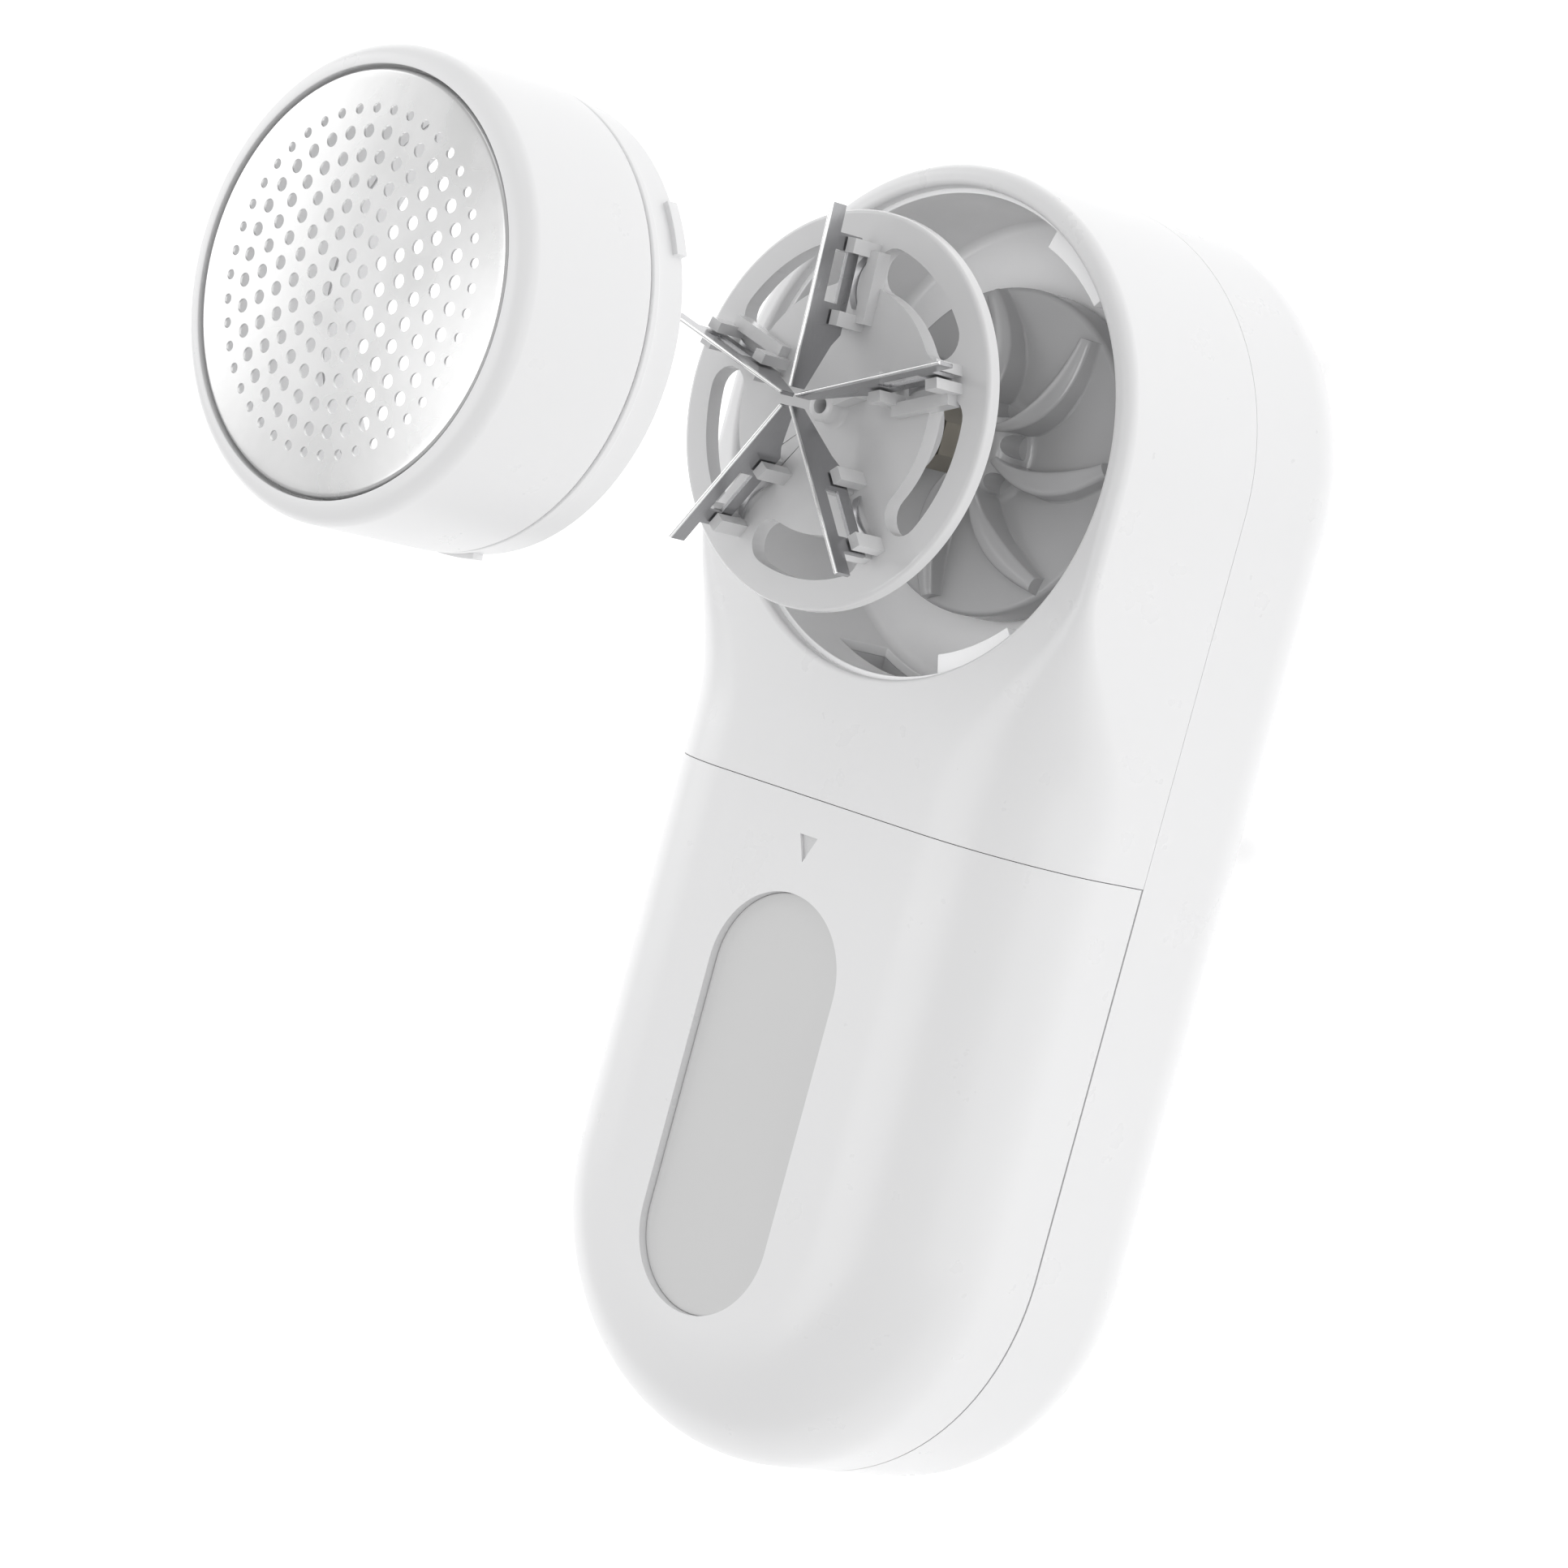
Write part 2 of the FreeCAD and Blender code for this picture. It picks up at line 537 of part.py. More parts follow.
def back_shell():
    shell = back_form(0.0, PARTING_Z).cut(back_form(WALL, PARTING_Z + OVER))
    posts = [cylinder(SHELL_BOSS, WALL / 2, PARTING_Z, x, y) for x, y in SHELL_SCREWS]
    posts += [cylinder(POST_RADIUS, WALL / 2, DECK_Z, x, y) for x, y in DECK_POSTS]
    posts = [post.common(back_form(0.0, PARTING_Z)) for post in posts]
    pocket = stadium(*knob_ends(), KNOB_WIDTH / 2 + RECESS_MARGIN + RECESS_FLOOR, KNOB_FACE_Z,
                     RECESS_DEPTH + RECESS_FLOOR)
    shell = shell.fuse(posts + [pocket])
    holes = [cylinder(SCREW_RADIUS + SCREW_GAP, -OVER, PARTING_Z + OVER, x, y) for x, y in SHELL_SCREWS]
    holes += [cylinder(COUNTERBORE, -OVER, SHELL_SCREW_Z, x, y) for x, y in SHELL_SCREWS]
    holes += [cylinder(SCREW_RADIUS, DECK_Z - SCREW_BITE, DECK_Z + OVER, x, y) for x, y in DECK_POSTS]
    holes.append(stadium(*knob_ends(), KNOB_WIDTH / 2 + RECESS_MARGIN, -OVER, RECESS_DEPTH))
    holes.append(stem_slot(0.0, RECESS_DEPTH + RECESS_FLOOR + OVER))
    holes.append(port_outline(PORT_GAP, TAIL_TIP_X - OVER, CHARGE_BOARD_X[0] + WALL))
    holes.append(pipe_rod(PIPE_RADIUS + PIPE_GAP, TAIL_TIP_X - OVER, CHARGE_BOARD_X[0]))
    return shell.cut(holes).removeSplitter()


def knob_ends():
    """Arc centres of the switch recess, which is longer than the knob by its travel."""
    reach = KNOB_LENGTH / 2 - KNOB_WIDTH / 2
    return KNOB_X - reach, KNOB_X + KNOB_TRAVEL + reach


def stem_slot(z0, z1):
    """Room for the knob's stem over its whole travel."""
    x0, x1 = KNOB_X - STEM_HALF - STEM_GAP, KNOB_X + KNOB_TRAVEL + STEM_HALF + STEM_GAP
    return block(x0, x1, -STEM_HALF - STEM_SIDE_GAP, STEM_HALF + STEM_SIDE_GAP, z0, z1)


def port_outline(margin, x0, x1):
    """Charging port's outline: a lying stadium section, run along X."""
    half = PORT_HEIGHT / 2 + margin
    reach = PORT_HALF - PORT_HEIGHT / 2
    ends = [Part.makeCylinder(half, x1 - x0, V(x0, side * reach, PORT_Z), X_AXIS) for side in (-1, 1)]
    return block(x0, x1, -reach, reach, PORT_Z - half, PORT_Z + half).fuse(ends).removeSplitter()


def pipe_rod(radius, x0, x1):
    return Part.makeCylinder(radius, x1 - x0, V(x0, PIPE_Y, PORT_Z), X_AXIS)


def bore_liner():
    floor_top = LINER_FLOOR_Z + LINER_FLOOR
    liner = cylinder(LINER_OUTER, LINER_FLOOR_Z, LINER_TOP_Z, BORE_X)
    liner = liner.cut(cylinder(LINER_RADIUS, floor_top, LINER_TOP_Z + OVER, BORE_X))
    liner = liner.cut(cylinder(LINER_HOLE, LINER_FLOOR_Z - OVER, floor_top + OVER, BORE_X))
    lugs = [sector(LINER_RADIUS + LUG_LAP, LUG_INNER, LUG_Z, LUG_Z + LUG_THICKNESS, angle, LUG_SPAN, BORE_X)
            for angle in LUG_ANGLES]
    liner = fused(liner, lugs)
    return liner.cut(duct_hole(BORE_X - LINER_OUTER - OVER, BORE_X - LINER_HOLE))


def air_duct():
    start = SEAM_X + PANEL_GAP + BULKHEAD
    duct = duct_hole(start, BORE_X - FAN_RADIUS, DUCT_WALL).cut(duct_hole(start - OVER, BORE_X))
    return duct.cut(cylinder(LINER_OUTER, 0, BIG, BORE_X))


# --- motor ----------------------------------------------------------------------------------
PLATE_Z = LINER_FLOOR_Z - PLATE


def motor_screw_places():
    return [(BORE_X, side * MOTOR_SCREW_PLACE) for side in (-1, 1)]


def motor_plate():
    plate = cylinder(PLATE_RADIUS, PLATE_Z, LINER_FLOOR_Z, BORE_X)
    holes = [cylinder(SCREW_RADIUS, 0, BIG, x, y) for x, y in motor_screw_places()]
    return plate.cut([cylinder(BUSH_RADIUS, 0, BIG, BORE_X)] + holes)


def motor_can():
    can = cylinder(CAN_RADIUS, CAN_BOTTOM_Z, PLATE_Z, BORE_X)
    can = can.cut(cylinder(CAN_RADIUS - CAN_WALL, CAN_BOTTOM_Z - OVER, PLATE_Z - CAN_WALL, BORE_X))
    holes = [cylinder(SCREW_RADIUS, PLATE_Z - CAN_WALL - OVER, BIG, x, y) for x, y in motor_screw_places()]
    return can.cut([cylinder(BUSH_RADIUS, 0, BIG, BORE_X)] + holes)


def motor_magnets():
    inner = ARMATURE_RADIUS + MAGNET_GAP
    low, high = CAN_BOTTOM_Z + ARMATURE_END, PLATE_Z - CAN_WALL - ARMATURE_END
    arcs = [sector(inner + MAGNET, inner, low, high, angle, MAGNET_SPAN, BORE_X) for angle in (0, 180)]
    return Part.makeCompound(arcs)


def motor_end_cap():
    cap = cylinder(CAN_RADIUS, CAN_BOTTOM_Z - END_CAP, CAN_BOTTOM_Z, BORE_X)
    return cap.cut(cylinder(SHAFT_RADIUS + RUNNING_GAP, SHAFT_BOTTOM_Z - RUNNING_GAP, BIG, BORE_X))


def motor_bush():
    return tube(BUSH_RADIUS, SHAFT_RADIUS + RUNNING_GAP, PLATE_Z - CAN_WALL, LINER_FLOOR_Z, BORE_X)


def screw(x, y, seat, length, down=True):
    """Cross-head screw: its head stands on the seat, its shank goes the other way."""
    sign = -1 if down else 1
    low, high = sorted((seat, seat + sign * length))
    shank = cylinder(SCREW_RADIUS, low, high, x, y)
    low, high = sorted((seat, seat - sign * SCREW_HEAD_HEIGHT))
    head = cylinder(SCREW_HEAD, low, high, x, y)
    z0, z1 = (high - CROSS_DEPTH, high + OVER) if down else (low - OVER, low + CROSS_DEPTH)
    long, wide = CROSS_LENGTH / 2, CROSS_WIDTH / 2
    cross = [block(x - a, x + a, y - b, y + b, z0, z1) for a, b in ((long, wide), (wide, long))]
    return fused(shank, [head]).cut(cross)


def motor_screws():
    return Part.makeCompound([screw(x, y, LINER_FLOOR_Z, MOTOR_SCREW_LENGTH) for x, y in motor_screw_places()])


def shell_screws():
    length = LINER_FLOOR_Z - SHELL_SCREW_Z - OVER
    return Part.makeCompound([screw(x, y, SHELL_SCREW_Z, length, False) for x, y in SHELL_SCREWS])


def deck_screws():
    seat = DECK_Z + DECK - SCREW_HEAD_HEIGHT
    return Part.makeCompound([screw(x, y, seat, DECK_SCREW_LENGTH) for x, y in DECK_POSTS])


# --- rotor ----------------------------------------------------------------------------------

def motor_shaft():
    return cylinder(SHAFT_RADIUS, SHAFT_BOTTOM_Z, SHAFT_TOP_Z, BORE_X)


def motor_armature():
    low, high = CAN_BOTTOM_Z + ARMATURE_END, PLATE_Z - CAN_WALL - ARMATURE_END
    core = tube(ARMATURE_RADIUS, SHAFT_RADIUS, low, high, BORE_X)
    gap = block(ARMATURE_CORE, ARMATURE_RADIUS + OVER, -ARMATURE_SLOT / 2, ARMATURE_SLOT / 2, low - OVER, high + OVER)
    gaps = [at_angle(gap, angle, BORE_X) for angle in (30, 150, 270)]
    collar = tube(COMMUTATOR_RADIUS, SHAFT_RADIUS, CAN_BOTTOM_Z + MAGNET_GAP, low + MAGNET_GAP, BORE_X)
    return fused(core.cut(gaps), [collar])


def vane():
    """One curved vane, standing on the impeller plate."""
    low, high = FAN_FACE_Z - FAN_PLATE / 2, FAN_TOP_Z
    tip = math.radians(VANE_SWEEP)
    reach = FAN_RADIUS - VANE_INSET
    inner, outer = V(FAN_HUB - VANE_ROOT, 0, low), V(reach * math.cos(tip), reach * math.sin(tip), low)
    middle = (inner + outer) * 0.5 + V(0.0, -VANE_BOW / 2, 0)
    shift = V(0, VANE_THICKNESS, 0)
    edges = [Part.Arc(inner, middle, outer).toShape(), Part.makeLine(outer, outer + shift),
             Part.Arc(outer + shift, middle + shift, inner + shift).toShape(),
             Part.makeLine(inner + shift, inner)]
    return Part.Face(Part.Wire(edges)).extrude(V(0, 0, high - low))


def impeller():
    plate = cylinder(FAN_RADIUS, FAN_PLATE_Z, FAN_FACE_Z)
    plate = plate.cut(cylinder(FAN_RADIUS - FAN_SKIRT, FAN_PLATE_Z - OVER, FAN_FACE_Z - FAN_PLATE))
    low = FAN_PLATE_Z - FAN_RISE / 2
    dome = [(0, low), (FAN_HUB, low), (FAN_HUB, FAN_TOP_Z - FAN_SLOPE)]
    dome += [(FAN_HUB - FAN_CROWN * (1 - math.cos(turn)), FAN_TOP_Z - FAN_SLOPE * (1 - math.sin(turn)))
             for turn in (math.radians(30 * k) for k in (1, 2, 3))]
    dome.append((0, FAN_TOP_Z))
    vanes = [at_angle(vane(), 360.0 * k / FAN_VANES) for k in range(FAN_VANES)]
    trim = turned([(0, low - OVER), (FAN_RADIUS, low - OVER), (FAN_RADIUS, FAN_TOP_Z - FAN_SLOPE),
                   (FAN_HUB, FAN_TOP_Z), (0, FAN_TOP_Z)])
    wheel = fused(plate, [turned(dome)] + vanes).common(trim)
    wheel = wheel.cut(cylinder(SHAFT_RADIUS, low - OVER, BIG))
    wheel.translate(V(BORE_X, 0, 0))
    return wheel


def drive_dog():
    dog = hexagon(DOG_ACROSS, DOG_Z, DOG_Z + DOG_LENGTH, BORE_X)
    return dog.cut(cylinder(SHAFT_RADIUS, 0, BIG, BORE_X))


# --- cutter wheel -----------------------------------------------------------------------------
FACE_Z = WHEEL_FRONT_Z + CUTTER_DRAWN
EDGE_Z = FACE_Z + BLADE_EDGE
BLADE_ANGLES = [BLADE_TURN + ONE_FIFTH * k for k in range(SLOT_COUNT)]


def kidney_slot():
    """Curved slot with round ends, cut through the wheel near its rim."""
    low, high = FACE_Z - WHEEL - OVER, FACE_Z + OVER
    ends = [at_angle(cylinder(SLOT_WIDTH / 2, low, high, SLOT_MIDDLE), side * SLOT_SPAN / 2) for side in (-1, 1)]
    return fused(sector(SLOT_OUTER, SLOT_INNER, low, high, 0, SLOT_SPAN), ends)


def hooks():
    """Two pairs of cheeks that guide one blade, and the low rib beside it."""
    inner = BLADE / 2 + HOOK_GAP
    low = FACE_Z - HOOK_ROOT
    pieces = []
    for radius in HOOK_RADII:
        for side in (-1, 1):
            x0, x1 = radius - HOOK_LENGTH / 2, radius + HOOK_LENGTH / 2
            y0, y1 = sorted((side * inner, side * (inner + HOOK_WIDTH)))
            pieces.append(block(x0, x1, y0, y1, low, FACE_Z + HOOK_HEIGHT))
    rib_y = -inner - RIB_SETBACK
    pieces.append(block(*HOOK_RADII, rib_y - RIB, rib_y, low, FACE_Z + RIB))
    return pieces


def cutter_wheel():
    disc = cylinder(WHEEL_RADIUS, FACE_Z - WHEEL, FACE_Z)
    disc = disc.makeFillet(WHEEL_RIM_ROUND, [edge for edge in disc.Edges if edge.BoundBox.ZMin > FACE_Z - WHEEL / 2])
    hub_low = HUB_BOTTOM_Z + CUTTER_DRAWN
    hub = cylinder(HUB_RADIUS, hub_low, FACE_Z - WHEEL / 2)
    boss = cylinder(BOSS_RADIUS, FACE_Z - HOOK_ROOT, FACE_Z + BOSS_HEIGHT)
    web = block(0, WEB_LENGTH, -WEB / 2, WEB / 2, FACE_Z - HOOK_ROOT, FACE_Z + WHEEL)
    web = at_angle(web, WEB_TURN)
    slots = [at_angle(kidney_slot(), angle + SLOT_LEAD) for angle in BLADE_ANGLES]
    guides = [at_angle(piece, angle) for angle in BLADE_ANGLES for piece in hooks()]
    wheel = fused(disc.cut(slots), [hub, boss, web] + guides)
    wheel = wheel.cut([cylinder(INSERT_RADIUS, hub_low - OVER, FACE_Z - WHEEL),
                       cylinder(BOSS_HOLE, FACE_Z - WHEEL - OVER, FACE_Z + BOSS_HEIGHT + OVER)])
    wheel.translate(V(BORE_X, 0, 0))
    return wheel


def hub_insert():
    low = HUB_BOTTOM_Z + CUTTER_DRAWN
    insert = cylinder(INSERT_RADIUS, low, FACE_Z - WHEEL, BORE_X)
    socket = hexagon(DOG_ACROSS + 2 * SOCKET_GAP, low - OVER, low + DOG_LENGTH - SOCKET_SHORT, BORE_X)
    return insert.cut([socket, cylinder(SHAFT_RADIUS + RUNNING_GAP, low - OVER, FACE_Z, BORE_X)])


def blade_springs():
    """One bowed steel strip beneath each blade, lying on the wheel."""
    low, high = FACE_Z, EDGE_Z - BLADE_HEIGHT - FLOAT_TRAVEL
    middle = WINDOW_RADIUS
    reach = WINDOW_LENGTH / 2
    rise = V(0, 0, SPRING_STRIP)
    half = V(0, BLADE, 0)
    a, b, c = V(middle - reach, 0, low), V(middle, 0, high - SPRING_STRIP), V(middle + reach, 0, low)
    edges = [Part.Arc(a, b, c).toShape(), Part.makeLine(c, c + rise),
             Part.Arc(c + rise, b + rise, a + rise).toShape(), Part.makeLine(a + rise, a)]
    strip = Part.Face(Part.Wire(edges)).extrude(half * 2)
    strip.translate(half * -1)
    return Part.makeCompound([at_angle(strip, angle, BORE_X) for angle in BLADE_ANGLES])


def blade(angle):
    foot = EDGE_Z - BLADE_HEIGHT
    tip_x, tip_z = BLADE_OUTER - BLADE_TIP_LENGTH, EDGE_Z - BLADE_TIP_HEIGHT
    outline = [(BLADE_INNER, EDGE_Z), (BLADE_OUTER, EDGE_Z), (BLADE_OUTER, tip_z), (tip_x, tip_z), (tip_x, foot),
               (BLADE_SHOULDER, foot), (BLADE_SHOULDER - BLADE_NECK_LENGTH, foot + BLADE_NECK_HEIGHT),
               (BLADE_INNER, EDGE_Z - BLADE_ROOT_HEIGHT)]
    points = [V(r, -BLADE / 2, z) for r, z in outline]
    plate = Part.Face(Part.makePolygon(points + [points[0]])).extrude(V(0, BLADE, 0))
    top = EDGE_Z - WINDOW_DROP
    window = block(WINDOW_RADIUS - WINDOW_LENGTH / 2, WINDOW_RADIUS + WINDOW_LENGTH / 2, -OVER, OVER,
                   top - WINDOW_HEIGHT, top)
    return at_angle(plate.cut(window), angle, BORE_X)


# --- head ---------------------------------------------------------------------------------------

def head_shell():
    top, low = HEAD_TOP_Z + HEAD_DRAWN, HEAD_SHELL_Z + HEAD_DRAWN
    shell = tube(HEAD_RADIUS, HEAD_LIP, low, top, BORE_X)
    shell = shell.cut(cylinder(HEAD_INNER, low - OVER, top - HEAD_LIP_DEPTH, BORE_X))
    rims = [edge for edge in shell.Edges if edge.BoundBox.ZMin > top - HEAD_WALL]
    outer = [edge for edge in rims if edge.BoundBox.XLength > 2 * HEAD_INNER]
    return shell.makeFillet(HEAD_FRONT_ROUND, outer)


def foil_holes():
    """Centre hole, rings of six more holes each, and one ring of small holes outside them."""
    places = [(0.0, 0.0, FOIL_HOLE)]
    for ring in range(1, FOIL_RINGS + 1):
        places += [(ring * FOIL_PITCH, 360.0 * k / (6 * ring), FOIL_HOLE) for k in range(6 * ring)]
    step = 360.0 / FOIL_OUTER_COUNT
    places += [(FOIL_OUTER_RING, step * k, FOIL_OUTER_HOLE) for k in range(FOIL_OUTER_COUNT)]
    return [at_angle(cylinder(radius, 0, BIG, r), angle) for r, angle, radius in places]


def foil():
    edge = FOIL_EDGE_Z + HEAD_DRAWN
    rise = FOIL_DOME
    outer_profile = [V(0, 0, edge + rise), V(FOIL_RADIUS / 2, 0, edge + 0.75 * rise), V(FOIL_RADIUS, 0, edge)]
    down = V(0, 0, -FOIL)
    skirt = edge - FOIL_SKIRT
    points = [outer_profile[2], V(FOIL_RADIUS, 0, skirt), V(FOIL_FLANGE, 0, skirt),
              V(FOIL_FLANGE, 0, skirt - FOIL), V(FOIL_RADIUS - FOIL, 0, skirt - FOIL),
              V(FOIL_RADIUS - FOIL, 0, edge - FOIL)]
    inner = [V(p.x - FOIL * p.x / FOIL_RADIUS, 0, p.z) + down for p in outer_profile]
    edges = [Part.Arc(*outer_profile).toShape()]
    edges += [Part.makeLine(a, b) for a, b in zip(points, points[1:])]
    edges += [Part.Arc(inner[2], inner[1], inner[0]).toShape(), Part.makeLine(inner[0], outer_profile[0])]
    cap = Part.Face(Part.Wire(edges)).revolve(V(0, 0, 0), Z_AXIS, 360)
    cap = cap.cut(foil_holes())
    cap.translate(V(BORE_X, 0, 0))
    return cap


def foil_sleeve():
    """Ring that clamps the foil's flange against the head's front lip."""
    top = FOIL_EDGE_Z - FOIL_SKIRT - FOIL + HEAD_DRAWN
    low = HEAD_SHELL_Z + HEAD_DRAWN
    return tube(HEAD_INNER - SLEEVE_GAP, SLEEVE_INNER, low, top, BORE_X)


def lock_collar():
    """Bayonet ring behind the head shell, with feet that turn under the liner's lugs."""
    low = SKIRT_BOTTOM_Z + HEAD_DRAWN
    ring_top = HEAD_SHELL_Z - RING_GAP + HEAD_DRAWN
    collar = tube(RING_RADIUS, SLEEVE_INNER, ring_top - RING, ring_top, BORE_X)
    skirt = tube(SKIRT_RADIUS, SLEEVE_INNER, low, ring_top, BORE_X)
    feet = [sector(FOOT_RADIUS, SKIRT_RADIUS - LUG_LAP, low, low + FOOT, angle + FOOT_LEAD, FOOT_SPAN, BORE_X)
            for angle in LUG_ANGLES]
    return fused(collar, [skirt] + feet)


# --- lint box -----------------------------------------------------------------------------------
BOX_FRONT_X = SEAM_X - PANEL_GAP
BOX_LOW_Z = PARTING_Z + BOX_FLOOR_GAP
PANE_ENDS = (TAIL_X - PANE_FROM_TAIL, SEAM_X - PANE_FROM_SEAM)


def lint_box_shell():
    behind = block(-BIG, BOX_FRONT_X, -BIG / 2, BIG / 2, BOX_LOW_Z, BIG)
    hollow = block(-BIG, BOX_FRONT_X - BOX_END, -BIG / 2, BIG / 2, BOX_LOW_Z + BOX_FLOOR, BIG)
    box = FRONT_OUTER.common(behind).cut(FRONT_INNER.common(hollow))
    arrow_x = SEAM_X - ARROW_FROM_SEAM
    arrow_low = BODY_DEPTH - ARROW_DEPTH
    corners = [V(arrow_x, -ARROW_HALF, arrow_low), V(arrow_x, ARROW_HALF, arrow_low),
               V(arrow_x - ARROW_LENGTH, 0, arrow_low)]
    arrow = Part.Face(Part.makePolygon(corners + [corners[0]])).extrude(V(0, 0, OVER))
    holes = [stadium(*PANE_ENDS, PANE_RADIUS, BODY_DEPTH - WALL - OVER, BODY_DEPTH + OVER), arrow,
             duct_hole(BOX_FRONT_X - BOX_END - OVER, BOX_FRONT_X + OVER)]
    for rise, count in VENT_ROWS:
        for k in range(count):
            start = V(TAIL_TIP_X - OVER, (k - (count - 1) / 2) * VENT_PITCH, PARTING_Z + rise)
            holes.append(Part.makeCylinder(VENT_RADIUS, OVER + 2 * WALL, start, X_AXIS))
    tabs = [tab_block(BOX_FRONT_X - BOX_END, BOX_FRONT_X + TAB_LENGTH, side, 0.0) for side in (-1, 1)]
    return fused(box.cut(holes), tabs)


def lint_window():
    """Stepped pane: its flange lies under the wall and its middle stands up in the opening."""
    under = BODY_DEPTH - WALL
    flange = stadium(*PANE_ENDS, PANE_RADIUS + PANE_LAP, under - PANE, under)
    step = stadium(*PANE_ENDS, PANE_RADIUS - PANE_GAP, under - PANE / 2, BODY_DEPTH - PANE_RECESS)
    return fused(flange, [step])


def exhaust_filter():
    """Mesh pad that stands across the tail of the lint box, before the vents."""
    x = TAIL_TIP_X + WALL + FILTER_SETBACK
    pad = block(x, x + FILTER, -BIG, BIG, BOX_LOW_Z + BOX_FLOOR, BIG)
    keep_in = front_form(WALL + FILTER_GAP).common(block(-BIG, BIG, -BIG, BIG, 0, BODY_DEPTH - HANDLE_ROUND))
    return pad.common(keep_in)


# --- handle contents -------------------------------------------------------------------------------

def mid_deck():
    """Floor plate over the handle's contents, on which the lint box slides."""
    radius = HALF_WIDTH - WALL - DECK_GAP
    deck = stadium(TAIL_X, BORE_X, radius, DECK_Z, DECK_Z + DECK)
    deck = deck.cut(beyond(SEAM_X + DECK_PAST_SEAM, 0, BIG))
    seat = DECK_Z + DECK - SCREW_HEAD_HEIGHT
    holes = [cylinder(SCREW_RADIUS, 0, BIG, x, y) for x, y in DECK_POSTS]
    holes += [cylinder(COUNTERBORE, seat, BIG, x, y) for x, y in DECK_POSTS]
    far, near = LATCH_FROM_SEAM
    half = LATCH_HALF + LATCH_GAP
    slot = block(SEAM_X - far, SEAM_X - near, -half, half, 0, BIG)
    return deck.cut(holes + [slot])


def latch_spring():
    """Leaf in the deck's slot, bowed up to click into the lint box's floor."""
    far, near = LATCH_FROM_SEAM
    x0, x1 = SEAM_X - far + LATCH_GAP, SEAM_X - near - LATCH_GAP
    foot_z = DECK_Z + LATCH_GAP
    a, c = V(x0, -LATCH_HALF, foot_z), V(x1, -LATCH_HALF, foot_z)
    b = V((x0 + x1) / 2, -LATCH_HALF, DECK_Z + DECK + LATCH_BOW)
    rise = V(0, 0, LATCH_STRIP)
    edges = [Part.Arc(a, b, c).toShape(), Part.makeLine(c, c + rise),
             Part.Arc(c + rise, b + rise, a + rise).toShape(), Part.makeLine(a + rise, a)]
    return Part.Face(Part.Wire(edges)).extrude(V(0, 2 * LATCH_HALF, 0))


def battery_cell():
    body = Part.makeCylinder(CELL_RADIUS, CELL_LENGTH, V(CELL_X - CELL_LENGTH, 0, CELL_Z), X_AXIS)
    cap = Part.makeCylinder(CELL_CAP_RADIUS, CELL_CAP, V(CELL_X, 0, CELL_Z), X_AXIS)
    return fused(body, [cap])


def battery_cradle():
    x0, x1 = CELL_X - CELL_LENGTH + CRADLE_SHORT, CELL_X - CRADLE_SHORT
    cradle = block(x0, x1, -CRADLE_HALF, CRADLE_HALF, WALL, CRADLE_TOP_Z)
    hollow = Part.makeCylinder(CELL_RADIUS + CRADLE_GAP, CELL_LENGTH, V(CELL_X - CELL_LENGTH, 0, CELL_Z), X_AXIS)
    return cradle.cut(hollow)


def control_board():
    """Board with a driver chip, a choke and a capacitor."""
    start, end = BOARD_X
    half_up = BOARD_Z + BOARD / 2
    top = BOARD_Z + BOARD
    board = block(start, end, -BOARD_HALF, BOARD_HALF, BOARD_Z, top)
    chips = [block(start + 4, start + 9, 3, 8, half_up, top + 1.2),
             block(end - 8, end - 4, -10, -4, half_up, top + 1.6),
             cylinder(2.5, half_up, top + 5, end - 5, 8)]
    return fused(board, chips)


def slide_switch():
    """Metal-cased slide switch under the control board, open below for its lever."""
    low = STEM_TOP_Z - SWITCH_REACH
    case = block(KNOB_X - SWITCH_END, KNOB_X + KNOB_TRAVEL + SWITCH_END, -SWITCH_HALF, SWITCH_HALF, low, BOARD_Z)
    return case.cut(stem_slot(low - OVER, STEM_TOP_Z + SWITCH_REACH / 2))


def switch_knob():
    reach = KNOB_LENGTH / 2 - KNOB_WIDTH / 2
    knob = stadium(KNOB_X - reach, KNOB_X + reach, KNOB_WIDTH / 2, KNOB_FACE_Z, KNOB_FACE_Z + KNOB)
    starts = [KNOB_X + (k - (GRIP_GROOVES - 1) / 2) * GRIP_PITCH for k in range(GRIP_GROOVES)]
    grooves = [block(x, x + GRIP_GROOVE, -GRIP_HALF, GRIP_HALF, KNOB_FACE_Z - OVER, KNOB_FACE_Z + GRIP_DEPTH)
               for x in starts]
    stem = block(KNOB_X - STEM_HALF, KNOB_X + STEM_HALF, -STEM_HALF, STEM_HALF, KNOB_FACE_Z + KNOB / 2, STEM_TOP_Z)
    return fused(knob.cut(grooves), [stem])


def charge_board():
    """Board behind the port, wider on the side of the light pipe."""
    top = CHARGE_BOARD_Z + BOARD
    return block(*CHARGE_BOARD_X, -CHARGE_BOARD_HALF, CHARGE_BOARD_HALF + 2 * PIPE_RADIUS, CHARGE_BOARD_Z, top)


def charge_port():
    start = TAIL_TIP_X + PORT_INSET
    shell = port_outline(0.0, start, start + PORT_LENGTH)
    hollow = port_outline(-PORT_WALL, start - OVER, start + PORT_LENGTH - OVER)
    tongue = block(start + TONGUE_SETBACK, start + PORT_LENGTH - PORT_WALL, -TONGUE_HALF, TONGUE_HALF,
                   PORT_Z - TONGUE / 2, PORT_Z + TONGUE / 2)
    return fused(shell.cut(hollow), [tongue])


def light_pipe():
    start = TAIL_X - math.sqrt(HALF_WIDTH ** 2 - PIPE_Y ** 2) + PIPE_GAP
    return pipe_rod(PIPE_RADIUS, start, CHARGE_BOARD_X[0] + PIPE_RADIUS)


